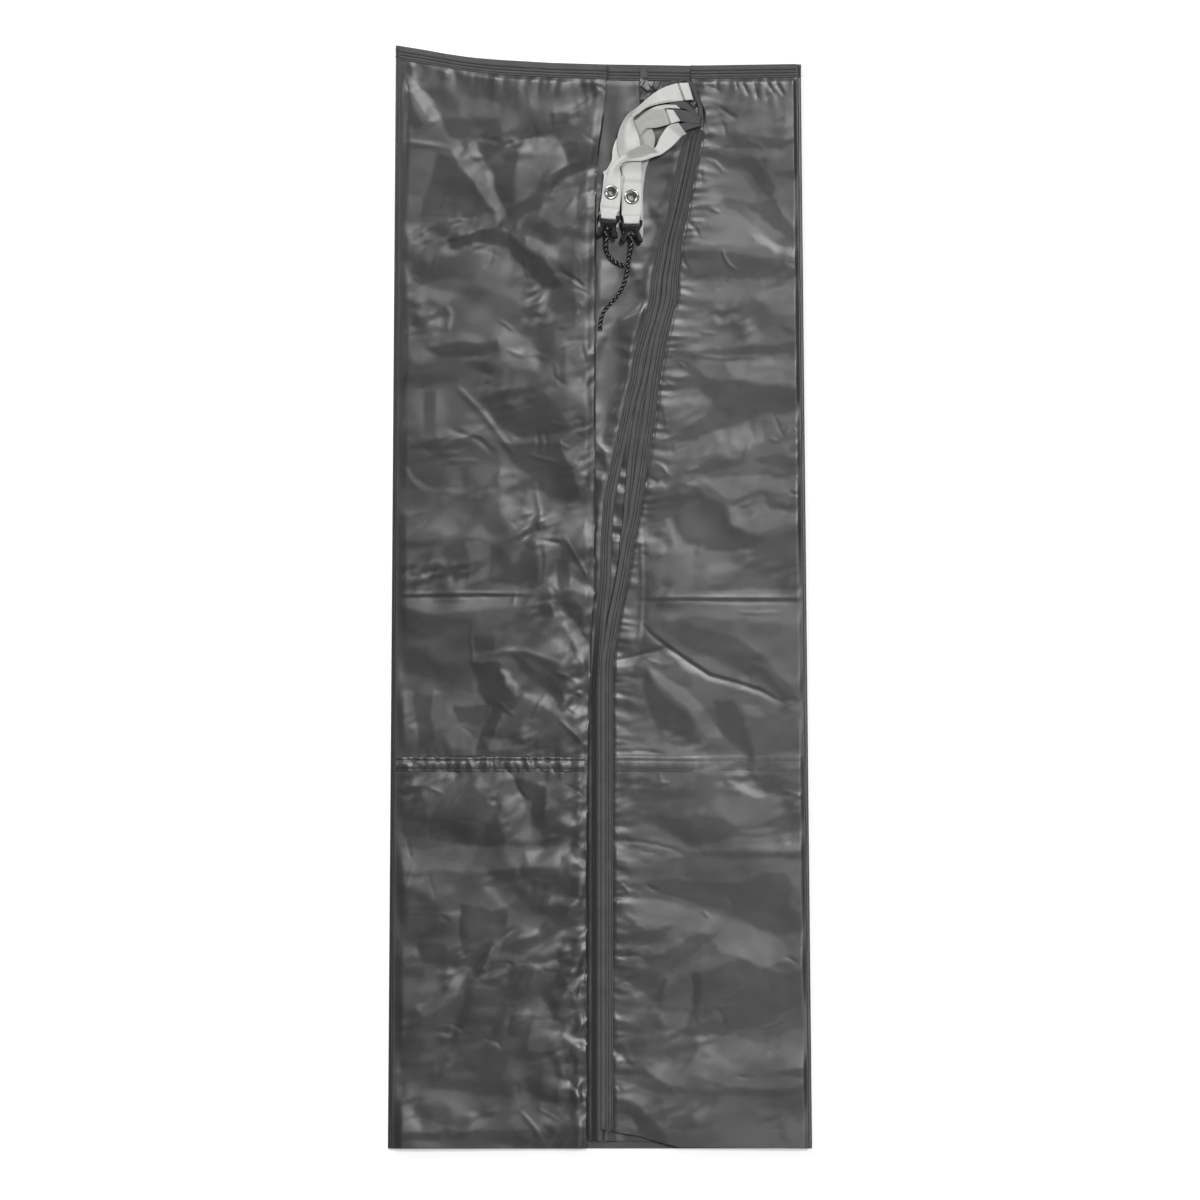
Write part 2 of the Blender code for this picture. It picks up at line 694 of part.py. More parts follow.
def rod_mesh(length, radius, down):
    shape = bmesh.new()
    bmesh.ops.create_cone(
        shape,
        cap_ends=True,
        segments=16,
        radius1=radius * METRES,
        radius2=radius * METRES,
        depth=length * METRES,
    )
    mesh = bpy.data.meshes.new("rod")
    shape.to_mesh(mesh)
    shape.free()
    mesh.transform(Matrix.Translation((0, -down * METRES, 0)) @ Matrix.Rotation(math.pi / 2, 4, "Y"))
    return mesh


def hook(number, end):
    """Flat hook: a bar for the strap, a waist, and two splayed legs joined by a bar for the cord."""
    outline = [(across, down) for across, down in hook_half] + [(-x, y) for x, y in hook_half[-2:0:-1]]
    curve = bpy.data.curves.new("hook", "CURVE")
    curve.dimensions = "2D"
    curve.fill_mode = "BOTH"
    edge = 0.5
    curve.extrude = (hook_thickness / 2 - edge) * METRES
    curve.bevel_depth = edge * METRES
    curve.bevel_resolution = 1
    curve.offset = -edge * METRES
    spline = curve.splines.new("POLY")
    spline.points.add(len(outline) - 1)
    for point, (across, down) in zip(spline.points, outline):
        point.co = (across * METRES, -down * METRES, 0, 1)
    spline.use_cyclic_u = True
    guide = bpy.data.objects.new("hook", curve)
    cutters.objects.link(guide)
    bpy.context.view_layer.update()
    mesh = bpy.data.meshes.new_from_object(guide.evaluated_get(bpy.context.evaluated_depsgraph_get()))
    bpy.data.objects.remove(guide)
    weld_and_face_out(mesh)
    body = add_mesh(f"cord_hook_{number}", mesh, PLASTIC, 0.3)
    combine(body, rod_mesh(2 * arm + 2, bar_radius, 0), "UNION")
    combine(body, rod_mesh(13, bar_radius, cord_bar_down), "UNION")
    body.matrix_world = end.matrix()
    return body


def hitch(number, end):
    """The cord's turn round its bar."""
    major = bar_radius + fit_gap + cord_radius
    bpy.ops.mesh.primitive_torus_add(
        major_radius=major * METRES, minor_radius=cord_radius * METRES, major_segments=20, minor_segments=10
    )
    ring = bpy.context.active_object
    for collection in list(ring.users_collection):
        collection.objects.unlink(ring)
    parts.objects.link(ring)
    ring.name = f"cord_hitch_{number}"
    give_material(ring, PLASTIC, 0.7)
    ring.matrix_world = end.matrix(-cord_bar_down) @ Matrix.Rotation(math.pi / 2, 4, "Y")
    return ring


lying = fit_gap + cord_radius  # height of a cord's middle where it lies on the inner layer
cord_start = cord_bar_down + bar_radius + 2 * fit_gap + 2 * cord_radius
cord_routes = {
    1: [
        (31.4, 201, 7.75), (30.5, 206, 6.55), (29.3, 212, 4.45), (28.1, 218, lying + 0.7),
        (27.1, 224, lying), (25.8, 231, lying), (23.8, 238, lying), (20.8, 244.5, lying),
        (16.5, 251, lying), (10.8, 257.5, lying), (5.4, 263.5, lying), (2.2, 270, lying),
        (0.8, 277, lying), (0.3, 284, lying),
    ],
    2: [
        (6.7, 195.5, 8.35), (6.3, 199.5, 7.05), (6.6, 204, 4.85), (8.0, 208.5, lying + 0.9),
        (10.6, 212.3, lying + 0.1), (14, 215.4, lying), (18.5, 218.1, lying), (22, 219.4, lying),
        (24.4, 220.1, lying),
    ],
}  # fmt: skip

for number, end in enumerate((right_end, left_end), 1):
    points = [end.spot(0, -cord_start, 0)] + [on_sheet(*place) for place in cord_routes[number]]
    cord = tube(f"cord_{number}", smooth_route(points, 2), cord_radius, PLASTIC, 0.7)
    pivot = add_pivot(f"cord_hook_{number}_pivot", end.origin)
    carry(pivot, hook(number, end), hitch(number, end), cord)
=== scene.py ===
import math

import bmesh
import bpy
import numpy as np
from mathutils import Matrix, Vector
from mathutils.bvhtree import BVHTree


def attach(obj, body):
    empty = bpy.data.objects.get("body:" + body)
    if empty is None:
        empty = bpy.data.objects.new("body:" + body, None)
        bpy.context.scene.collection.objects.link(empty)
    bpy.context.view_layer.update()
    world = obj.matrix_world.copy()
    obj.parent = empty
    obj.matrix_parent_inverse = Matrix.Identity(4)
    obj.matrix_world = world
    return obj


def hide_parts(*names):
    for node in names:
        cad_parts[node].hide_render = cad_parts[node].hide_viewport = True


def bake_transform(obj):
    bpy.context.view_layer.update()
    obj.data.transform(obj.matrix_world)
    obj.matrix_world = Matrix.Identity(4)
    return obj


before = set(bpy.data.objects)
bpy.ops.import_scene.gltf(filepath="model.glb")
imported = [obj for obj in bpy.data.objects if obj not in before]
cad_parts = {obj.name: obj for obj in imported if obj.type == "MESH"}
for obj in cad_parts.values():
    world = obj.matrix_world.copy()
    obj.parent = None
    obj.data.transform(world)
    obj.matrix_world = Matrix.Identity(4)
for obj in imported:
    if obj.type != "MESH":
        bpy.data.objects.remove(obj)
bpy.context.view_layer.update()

# Places on the folded sheet are (across, down, height) in millimetres: across from its centre line,
# down from its top end, height above the floor. They become metres when a mesh is made.
metres = 0.001
halfLength = 550.0
scene = bpy.context.scene
scene.view_settings.view_transform = "Standard"


def place(across, down, height):
    return Vector((across * metres, (halfLength - down) * metres, height * metres))


def addObject(name, data):
    made = bpy.data.objects.new(name, data)
    scene.collection.objects.link(made)
    return made


def evaluatedMesh(piece):
    # the piece's mesh with its modifiers or curve settings worked in
    bpy.context.view_layer.update()
    return bpy.data.meshes.new_from_object(piece.evaluated_get(bpy.context.evaluated_depsgraph_get()))


# camera, floor and light

cameraSetup = {"height": 8.49, "centreDown": 553.0, "lens": 255.5, "sensor": 36.0}

camera = addObject("camera", bpy.data.cameras.new("camera"))
camera.data.lens = cameraSetup["lens"]
camera.data.sensor_width = cameraSetup["sensor"]
camera.data.clip_end = 20.0
camera.location = (0, (halfLength - cameraSetup["centreDown"]) * metres, cameraSetup["height"])
scene.camera = camera

windowLights = {
    # name: direction, how wide it looks in degrees, strength
    "farWindow": ((0.24, 0.305, 1.0), 12.0, 1.4),
    "footWindow": ((0.3, -0.33, 1.0), 15.0, 0.12),
}
lightSetup = {
    # name: place, aim, size across and along, watts
    "keySide": ((-1.5, 1.3, 1.7), (0.0, 0.0, 0.0), (0.5, 0.5), 23.0),
    "footFill": ((0.2, -2.0, 1.3), (0.0, -0.2, 0.0), (1.6, 0.8), 4.0),
}
worldLevel = 0.155


def addLight(name, spot, aim, size, watts):
    lamp = bpy.data.lights.new(name, "AREA")
    lamp.shape = "RECTANGLE"
    lamp.size, lamp.size_y = size
    lamp.energy = watts
    lampObject = addObject(name, lamp)
    lampObject.location = spot
    lampObject.rotation_euler = (Vector(aim) - Vector(spot)).to_track_quat("-Z", "Y").to_euler()


for name, setup in lightSetup.items():
    addLight(name, *setup)

# wide far windows, whose sheen shows every facet of the coated cloth
for name, (direction, angle, strength) in windowLights.items():
    lamp = bpy.data.lights.new(name, "SUN")
    lamp.angle = math.radians(angle)
    lamp.energy = strength
    addObject(name, lamp).rotation_euler = (-Vector(direction)).to_track_quat("-Z", "Y").to_euler()

world = bpy.data.worlds.new("studio")
world.use_nodes = True
scene.world = world
background = world.node_tree.nodes["Background"]
background.inputs["Color"].default_value = (1.0, 1.0, 1.0, 1.0)
background.inputs["Strength"].default_value = worldLevel


def newMaterial(name):
    material = bpy.data.materials.new(name)
    material.use_nodes = True
    nodes = material.node_tree.nodes
    return material, nodes, material.node_tree.links, nodes["Principled BSDF"]


def mathNode(tree, operation, a, b=None, c=None, clamp=False):
    node = tree.nodes.new("ShaderNodeMath")
    node.operation = operation
    node.use_clamp = clamp
    for index, value in enumerate((a, b, c)):
        if value is None:
            continue
        if isinstance(value, (int, float)):
            node.inputs[index].default_value = value
        else:
            tree.links.new(value, node.inputs[index])
    return node.outputs[0]


def mapRange(tree, value, toMin, toMax, fromMin=0.0, fromMax=1.0):
    node = tree.nodes.new("ShaderNodeMapRange")
    for label, amount in (("From Min", fromMin), ("From Max", fromMax), ("To Min", toMin), ("To Max", toMax)):
        node.inputs[label].default_value = amount
    tree.links.new(value, node.inputs["Value"])
    return node.outputs[0]


def noiseNode(tree, vector, scale, **settings):
    node = tree.nodes.new("ShaderNodeTexNoise")
    for label, value in settings.items():
        node.inputs[label].default_value = value
    if isinstance(scale, (int, float)):
        node.inputs["Scale"].default_value = scale
    else:
        tree.links.new(scale, node.inputs["Scale"])
    tree.links.new(vector, node.inputs["Vector"])
    return node.outputs["Fac"]


def floorMaterial():
    material, nodes, links, shader = newMaterial("paleFloor")
    shader.inputs["Base Color"].default_value = (0.86, 0.86, 0.86, 1)
    shader.inputs["Roughness"].default_value = 0.9
    # lifted towards white where the camera looks at it
    seen = nodes.new("ShaderNodeLightPath").outputs["Is Camera Ray"]
    shader.inputs["Emission Color"].default_value = (1, 1, 1, 1)
    links.new(mathNode(material.node_tree, "MULTIPLY", seen, 0.42), shader.inputs["Emission Strength"])
    return material


floorMesh = bpy.data.meshes.new("floor")
floorMesh.from_pydata([(-4, -4, -0.0004), (4, -4, -0.0004), (4, 4, -0.0004), (-4, 4, -0.0004)], [], [(0, 1, 2, 3)])
floorMesh.materials.append(floorMaterial())
floor = addObject("floor", floorMesh)
print("stage: camera, floor and light")

# shader groups and materials


def newGroup(name, inputs, outputs):
    group = bpy.data.node_groups.new(name, "ShaderNodeTree")
    for label, kind, value in inputs:
        socket = group.interface.new_socket(label, in_out="INPUT", socket_type=kind)
        if value is not None:
            socket.default_value = value
    for label, kind in outputs:
        group.interface.new_socket(label, in_out="OUTPUT", socket_type=kind)
    return group, group.nodes.new("NodeGroupInput"), group.nodes.new("NodeGroupOutput")


def wovenGroup():
    # plain weave from two crossed waves, with a slightly uneven thread
    group, given, out = newGroup(
        "plainWeave",
        [("Vector", "NodeSocketVector", None), ("Threads per metre", "NodeSocketFloat", 1500.0),
         ("Unevenness", "NodeSocketFloat", 0.5)],
        [("Height", "NodeSocketFloat"), ("Tone", "NodeSocketFloat")],
    )  # fmt: skip
    split = group.nodes.new("ShaderNodeSeparateXYZ")
    group.links.new(given.outputs["Vector"], split.inputs[0])
    turns = mathNode(group, "MULTIPLY", given.outputs["Threads per metre"], 2 * math.pi)
    waves = []
    for axis in ("X", "Y"):
        angle = mathNode(group, "MULTIPLY", split.outputs[axis], turns)
        waves.append(mathNode(group, "SINE", angle))
    crossed = mathNode(group, "MULTIPLY", waves[0], waves[1])
    stretch = group.nodes.new("ShaderNodeMapping")
    stretch.inputs["Scale"].default_value = (60.0, 900.0, 60.0)
    group.links.new(given.outputs["Vector"], stretch.inputs["Vector"])
    slub = noiseNode(group, stretch.outputs[0], 1.0, Detail=2.0)
    uneven = mathNode(group, "MULTIPLY", slub, given.outputs["Unevenness"])
    group.links.new(mathNode(group, "ADD", crossed, uneven), out.inputs["Height"])
    group.links.new(slub, out.inputs["Tone"])
    return group


def wearGroup():
    # cloudy marks and faint rubbed patches, as a mask from 0 to 1
    group, given, out = newGroup(
        "handling",
        [("Vector", "NodeSocketVector", None), ("Patch size", "NodeSocketFloat", 0.06)],
        [("Mask", "NodeSocketFloat")],
    )
    scale = mathNode(group, "DIVIDE", 1.0, given.outputs["Patch size"])
    patches = noiseNode(group, given.outputs["Vector"], scale, Detail=5.0, Roughness=0.62)
    group.links.new(mapRange(group, patches, 0.0, 1.0, 0.32, 0.68), out.inputs["Mask"])
    return group


def ribbedGroup():
    # cross ribs of woven tape: the Y of the piece's own map runs along it
    group, given, out = newGroup(
        "crossRibs",
        [("Vector", "NodeSocketVector", None), ("Ribs per metre", "NodeSocketFloat", 900.0),
         ("Cords per metre", "NodeSocketFloat", 0.0)],
        [("Height", "NodeSocketFloat"), ("Tone", "NodeSocketFloat")],
    )  # fmt: skip
    split = group.nodes.new("ShaderNodeSeparateXYZ")
    group.links.new(given.outputs["Vector"], split.inputs[0])
    along = mathNode(group, "MULTIPLY", split.outputs["Y"], given.outputs["Ribs per metre"])
    rib = mathNode(group, "SINE", mathNode(group, "MULTIPLY", along, 2 * math.pi))
    sideways = mathNode(group, "MULTIPLY", split.outputs["X"], given.outputs["Cords per metre"])
    warp = mathNode(group, "SINE", mathNode(group, "MULTIPLY", sideways, 2 * math.pi))
    fuzz = noiseNode(group, given.outputs["Vector"], 700.0, Detail=3.0)
    height = mathNode(group, "ADD", rib, mathNode(group, "MULTIPLY", warp, 0.7))
    group.links.new(mathNode(group, "ADD", height, fuzz), out.inputs["Height"])
    group.links.new(fuzz, out.inputs["Tone"])
    return group


plainWeave, handling, crossRibs = wovenGroup(), wearGroup(), ribbedGroup()


def placeGroup(tree, group, values, vector):
    node = tree.nodes.new("ShaderNodeGroup")
    node.node_tree = group
    for label, value in values.items():
        node.inputs[label].default_value = value
    tree.links.new(vector, node.inputs["Vector"])
    return node


def mixColours(tree, factor, first, second):
    mix = tree.nodes.new("ShaderNodeMix")
    mix.data_type = "RGBA"
    if isinstance(factor, (int, float)):
        mix.inputs[0].default_value = factor
    else:
        tree.links.new(factor, mix.inputs[0])
    for socket, value in ((mix.inputs[6], first), (mix.inputs[7], second)):
        if isinstance(value, tuple):
            socket.default_value = (*value, 1.0)
        else:
            tree.links.new(value, socket)
    return mix.outputs[2]


def pieceMap(tree):
    node = tree.nodes.new("ShaderNodeUVMap")
    node.uv_map = "clothMap"
    return node.outputs[0]


def addHandling(tree, shader, patch, dark, light, roughness):
    # colour and polish that drift together over a hard piece; returns the place on the piece
    where = tree.nodes.new("ShaderNodeTexCoord").outputs["Object"]
    mask = placeGroup(tree, handling, {"Patch size": patch}, where).outputs["Mask"]
    tree.links.new(mixColours(tree, mask, dark, light), shader.inputs["Base Color"])
    tree.links.new(mapRange(tree, mask, *roughness), shader.inputs["Roughness"])
    return where


def addBump(tree, shader, height, distance):
    bump = tree.nodes.new("ShaderNodeBump")
    bump.inputs["Distance"].default_value = distance
    bump.inputs["Strength"].default_value = 1.0
    tree.links.new(height, bump.inputs["Height"])
    tree.links.new(bump.outputs[0], shader.inputs["Normal"])


coatedCloth = {
    "dark": (0.024, 0.0248, 0.0252), "light": (0.035, 0.0358, 0.0362), "roughness": (0.34, 0.38),
    "threads": 1900.0, "sheen": 0.06, "shine": 1.0,
}  # fmt: skip


def clothMaterial(name, tint=1.0, shine=1.0):
    material, nodes, links, shader = newMaterial(name)
    tree = material.node_tree
    where = pieceMap(tree)
    weave = placeGroup(tree, plainWeave, {"Threads per metre": coatedCloth["threads"]}, where)
    mask = placeGroup(tree, handling, {"Patch size": 0.05}, where).outputs["Mask"]
    dark, light = (tuple(value * tint for value in coatedCloth[label]) for label in ("dark", "light"))
    threads = mapRange(tree, weave.outputs["Tone"], 0.0, 0.35)
    links.new(mixColours(tree, threads, mixColours(tree, mask, dark, light), light), shader.inputs["Base Color"])
    links.new(mapRange(tree, mask, *coatedCloth["roughness"]), shader.inputs["Roughness"])
    shader.inputs["Specular IOR Level"].default_value = coatedCloth["shine"] * shine
    shader.inputs["Sheen Weight"].default_value = coatedCloth["sheen"]
    shader.inputs["Sheen Roughness"].default_value = 0.4
    addBump(tree, shader, weave.outputs["Height"], 0.000006)
    return material


def tapeMaterial(name, dark, light, ribs, cords, roughness, sheen=0.2, contrast=0.45, depth=0.00012, shaded=0.22):
    # ribbed tape or webbing; where the piece's painted shade is 1, its colour is its dark one times shaded, which
    # paints shadow into sewn grooves, the slot and shaded strap facets
    material, nodes, links, shader = newMaterial(name)
    tree = material.node_tree
    where = pieceMap(tree)
    ribHeight = placeGroup(tree, crossRibs, {"Ribs per metre": ribs, "Cords per metre": cords}, where).outputs["Height"]
    mask = placeGroup(tree, handling, {"Patch size": 0.02}, where).outputs["Mask"]
    colour = mixColours(tree, mask, dark, light)
    ribTone = mapRange(tree, ribHeight, 0.0, contrast, -1.0, 2.2)
    colour = mixColours(tree, ribTone, colour, tuple(min(1.0, value * 1.35) for value in light))
    shade = nodes.new("ShaderNodeAttribute")
    shade.attribute_name = "shade"
    colour = mixColours(tree, shade.outputs["Fac"], colour, tuple(value * shaded for value in dark))
    links.new(colour, shader.inputs["Base Color"])
    shader.inputs["Roughness"].default_value = roughness
    shader.inputs["Sheen Weight"].default_value = sheen
    shader.inputs["Sheen Roughness"].default_value = 0.5
    addBump(tree, shader, ribHeight, depth)
    return material


def metalMaterial():
    material, nodes, links, shader = newMaterial("brightNickel")
    addHandling(material.node_tree, shader, 0.003, (0.3, 0.29, 0.275), (0.5, 0.49, 0.47), (0.16, 0.34))
    shader.inputs["Metallic"].default_value = 1.0
    return material


def plasticMaterial():
    material, nodes, links, shader = newMaterial("blackMouldedPlastic")
    tree = material.node_tree
    where = addHandling(tree, shader, 0.004, (0.003, 0.003, 0.003), (0.008, 0.008, 0.0085), (0.25, 0.4))
    shader.inputs["Specular IOR Level"].default_value = 0.28
    addBump(tree, shader, noiseNode(tree, where, 1800.0), 0.00003)
    return material


def cordMaterial():
    # braid of diamonds with white tracer flecks: X of the map is the share round it, Y metres along it
    material, nodes, links, shader = newMaterial("flecked braid")
    tree = material.node_tree
    split = nodes.new("ShaderNodeSeparateXYZ")
    links.new(pieceMap(tree), split.inputs[0])
    around, along = split.outputs["X"], split.outputs["Y"]
    heights = []
    for direction in (1.0, -1.0):
        lean = mathNode(tree, "MULTIPLY", along, 420.0 * direction)
        turns = mathNode(tree, "ADD", mathNode(tree, "MULTIPLY", around, 8.0), lean)
        heights.append(mathNode(tree, "SINE", mathNode(tree, "MULTIPLY", turns, 2 * math.pi)))
    braid = mathNode(tree, "MULTIPLY", heights[0], heights[1])
    # rows of three white flecks that slant round it, one row after another along the cord
    rows = mathNode(tree, "MULTIPLY", along, 190.0)
    slots = mathNode(tree, "MULTIPLY", mathNode(tree, "FRACT", rows), 4.0)
    slot = mathNode(tree, "FLOOR", slots)
    inSlot = mathNode(tree, "COMPARE", mathNode(tree, "FRACT", slots), 0.5, 0.24)
    notGap = mathNode(tree, "LESS_THAN", slot, 2.5)
    start = mathNode(tree, "MULTIPLY", mathNode(tree, "FLOOR", rows), 1.13)
    lean = mathNode(tree, "ADD", start, mathNode(tree, "MULTIPLY", slot, 0.32))
    turned = mathNode(tree, "SUBTRACT", mathNode(tree, "MULTIPLY", around, 3.0), lean)
    inTurn = mathNode(tree, "COMPARE", mathNode(tree, "FRACT", turned), 0.5, 0.12)
    fleck = mathNode(tree, "MULTIPLY", mathNode(tree, "MULTIPLY", inSlot, notGap), inTurn)
    links.new(mixColours(tree, fleck, (0.006, 0.006, 0.0065), (0.62, 0.62, 0.6)), shader.inputs["Base Color"])
    shader.inputs["Roughness"].default_value = 0.8
    shader.inputs["Specular IOR Level"].default_value = 0.25
    addBump(tree, shader, braid, 0.00008)
    return material


cloth = clothMaterial("coatedCloth")
# a darker, duller copy of the same coated cloth: painted shade for the left flap, which lies in less light
shadedLeftCloth = clothMaterial("coatedClothLeftShaded", 0.8, 0.8)
innerCloth = clothMaterial("coatedClothInside", 0.9)
tape = tapeMaterial(
    "ribbedBinding", (0.052, 0.053, 0.055), (0.092, 0.094, 0.096), 1400.0, 420.0, 0.6,
    sheen=0.1, contrast=0.5, depth=0.00005,
)  # fmt: skip
webbing = tapeMaterial(
    "silverWebbing", (0.72, 0.72, 0.69), (0.87, 0.87, 0.84), 1500.0, 1700.0, 0.6,
    sheen=0.3, contrast=0.3, depth=0.00006, shaded=0.45,
)  # fmt: skip
patchCloth = clothMaterial("heavyPatch", 0.7, 0.75)
blackThread = tapeMaterial("blackThread", (0.012, 0.012, 0.012), (0.02, 0.02, 0.02), 2500.0, 0.0, 0.7)
thread = tapeMaterial("sewingThread", (0.07, 0.071, 0.073), (0.11, 0.112, 0.115), 2500.0, 0.0, 0.6)
nickel, plastic, braidedCord = metalMaterial(), plasticMaterial(), cordMaterial()
print("stage: materials")

# fields that shape the cloth


def ease(value, start, end):
    t = np.clip((value - start) / (end - start), 0, 1)
    return t * t * (3 - 2 * t)


def gradientNoise(x, y, size, seed, angle=0.0, stretch=1.0):
    # smooth noise about -0.7 to 0.7 whose patches are size long, and stretch times as long along the angle
    turn = math.radians(angle)
    u = (x * math.cos(turn) + y * math.sin(turn)) / (size * stretch)
    v = (-x * math.sin(turn) + y * math.cos(turn)) / size
    table = np.random.default_rng(seed).uniform(0, 2 * math.pi, (64, 64))
    column, row = np.floor(u).astype(int), np.floor(v).astype(int)
    fu, fv = u - column, v - row
    su, sv = fu**3 * (fu * (fu * 6 - 15) + 10), fv**3 * (fv * (fv * 6 - 15) + 10)

    def corner(i, j):
        angles = table[(column + i) % 64, (row + j) % 64]
        return np.cos(angles) * (fu - i) + np.sin(angles) * (fv - j)

    upper = corner(0, 0) * (1 - su) + corner(1, 0) * su
    lower = corner(0, 1) * (1 - su) + corner(1, 1) * su
    return upper * (1 - sv) + lower * sv


def facetNoise(x, y, size, seed, sharpness):
    # flat tilted facets that meet in creases, like crumpled coated cloth
    u, v = x / size, y / size
    source = np.random.default_rng(seed)
    jitter = source.uniform(0.1, 0.9, (64, 64, 2))
    slope = source.normal(0, 1.0, (64, 64, 3))
    column, row = np.floor(u).astype(int), np.floor(v).astype(int)
    total, weights = np.zeros_like(u), np.zeros_like(u)
    for i in (-1, 0, 1):
        for j in (-1, 0, 1):
            a, b = (column + i) % 64, (row + j) % 64
            du, dv = u - (column + i + jitter[a, b, 0]), v - (row + j + jitter[a, b, 1])
            weight = np.exp(-sharpness * (du * du + dv * dv))
            total += weight * (slope[a, b, 0] * du + slope[a, b, 1] * dv + 0.35 * slope[a, b, 2])
            weights += weight
    return total / (weights + 1e-12)


def distanceToLine(x, y, points):
    # distance, side and share of the length at the nearest place on a line of points
    best = np.full(x.shape, 1e9)
    side, share = np.zeros_like(x), np.zeros_like(x)
    lengths = [math.dist(a, b) for a, b in zip(points, points[1:])]
    total, done = sum(lengths), 0.0
    for (ax, ay), (bx, by), length in zip(points, points[1:], lengths):
        dx, dy = (bx - ax) / length, (by - ay) / length
        t = np.clip((x - ax) * dx + (y - ay) * dy, 0, length)
        gapX, gapY = x - (ax + dx * t), y - (ay + dy * t)
        gap = np.hypot(gapX, gapY)
        closer = gap < best
        best = np.where(closer, gap, best)
        side = np.where(closer, np.sign(gapX * dy - gapY * dx), side)
        share = np.where(closer, (done + t) / total, share)
        done += length
    return best, side, share


def addCrease(height, x, y, points, rise, rightWidth, leftWidth, power=1.5):
    # a folded ridge (or a valley, with a negative rise); each side of the line has its own width
    reach = max(rightWidth, leftWidth)
    xs, ys = [p[0] for p in points], [p[1] for p in points]
    near = (x > min(xs) - reach) & (x < max(xs) + reach) & (y > min(ys) - reach) & (y < max(ys) + reach)
    if not near.any():
        return
    gap, side, share = distanceToLine(x[near], y[near], points)
    width = np.where(side > 0, rightWidth, leftWidth)
    profile = np.clip(1 - gap / width, 0, 1) ** power
    ends = np.clip(share / 0.22, 0, 1) * np.clip((1 - share) / 0.22, 0, 1)
    height[near] += rise * profile * ends**0.7


def insideShare(x, y, corners, softness):
    # 1 inside a closed outline, 0 outside it, with a soft edge of the given width
    best, inside = np.full(x.shape, 1e9), np.zeros(x.shape, bool)
    for (ax, ay), (bx, by) in zip(corners, corners[1:] + corners[:1]):
        dx, dy = bx - ax, by - ay
        t = np.clip(((x - ax) * dx + (y - ay) * dy) / (dx * dx + dy * dy), 0, 1)
        best = np.minimum(best, np.hypot(x - ax - dx * t, y - ay - dy * t))
        if ay != by:
            crosses = ((ay > y) != (by > y)) & (x < ax + (y - ay) * dx / dy)
            inside ^= crosses
    return ease(np.where(inside, best, -best), -softness / 2, softness / 2)


# where the window stands and how the relief answers to it: spread is how far a fold carries on, in mm
window = {"across": 0.62, "down": -0.785, "tilt": 0.142, "evenness": 0.2, "spread": 42.0}


def patchNoise(x, y, size, seed, hardness, stretch=1.6, angle=0.0):
    # soft patches of light and shade with fairly crisp edges
    warpX = gradientNoise(x, y, size * 1.3, seed + 50) * size * 0.7
    warpY = gradientNoise(x, y, size * 1.3, seed + 51) * size * 0.7
    return np.tanh(hardness * gradientNoise(x + warpX, y + warpY, size, seed, angle, stretch))


def facetField(spec, left, right, step=1.6):
    # the smooth height whose slope towards the window follows the listed facets, found through its waves
    margin = 60.0
    x, y = np.meshgrid(np.arange(left - margin, right + margin, step), np.arange(-margin, 1100 + margin, step))
    seed, loose = spec["seed"], spec["loose"]
    facing = loose * patchNoise(x, y, 46, seed, 11.0, 1.9, 4)
    facing += loose * 0.8 * patchNoise(x, y, 19, seed + 1, 12.0, 1.8, -14)
    facing *= 0.25 + 1.5 * np.clip(gradientNoise(x, y, 70, seed + 3) + 0.4, 0, 1)
    wrinkled = np.clip(gradientNoise(x, y, 42, seed + 12) * 3.0 - 0.2, 0, 1)
    facing += 0.6 * wrinkled * patchNoise(x, y, 7.5, seed + 13, 9.0, 3.2, -18)
    # small facets crowd along the free edge, drawn out square to it where tape gathers the cloth
    edgeGap = np.abs(x - along(spec["edge"])(y))
    first, last, extra = spec["crushed"]
    busy = 0.5 + np.clip(gradientNoise(x * 0, y, 60, seed + 4) * 1.6, -0.4, 1)
    busy += extra * ease(y, first - 30, first + 30) * (1 - ease(y, last - 20, last + 20))
    for amount, reach, size, stretch in spec["crowding"]:
        near = np.exp(-((edgeGap / reach) ** 1.5)) * busy
        facing += amount * near * patchNoise(x, y, size, seed + 5, 9.0, stretch, 0)
    warpX = gradientNoise(x, y, 34, seed + 6) * 8 + gradientNoise(x, y, 9, seed + 7) * 2.6
    warpY = gradientNoise(x, y, 34, seed + 8) * 6 + gradientNoise(x, y, 9, seed + 9) * 2.6
    softer = 0.35 + 1.5 * np.clip(gradientNoise(x, y, 30, seed + 10) + 0.1, 0, 1)
    for tone, softness, corners in spec["facets"]:
        xs, ys = [p[0] for p in corners], [p[1] for p in corners]
        near = (x > min(xs) - 22) & (x < max(xs) + 22) & (y > min(ys) - 22) & (y < max(ys) + 22)
        small = min(1.0, min(max(xs) - min(xs), max(ys) - min(ys)) / 26)
        spotX, spotY = x[near] + warpX[near] * small, y[near] + warpY[near] * small
        share = insideShare(spotX, spotY, corners, softness * 0.4 * softer[near])
        facing[near] += (tone - 0.45 * facing[near]) * share
    waveX = 2 * math.pi * np.fft.fftfreq(x.shape[1], step)[None, :]
    waveY = 2 * math.pi * np.fft.fftfreq(x.shape[0], step)[:, None]
    towards = waveX * window["across"] + waveY * window["down"]
    size = waveX**2 + waveY**2
    firm = towards**2 + window["evenness"] ** 2 * size + 1 / window["spread"] ** 2
    height = np.fft.ifft2(np.fft.fft2(facing * window["tilt"] * spec["depth"]) * 1j * towards / firm).real

    def at(across, down):
        u = np.clip((across - x[0, 0]) / step, 0, x.shape[1] - 1.001)
        v = np.clip((down - y[0, 0]) / step, 0, x.shape[0] - 1.001)
        i, j = u.astype(int), v.astype(int)
        fu, fv = u - i, v - j
        upper = height[j, i] * (1 - fu) + height[j, i + 1] * fu
        lower = height[j + 1, i] * (1 - fu) + height[j + 1, i + 1] * fu
        return upper * (1 - fv) + lower * fv

    return at


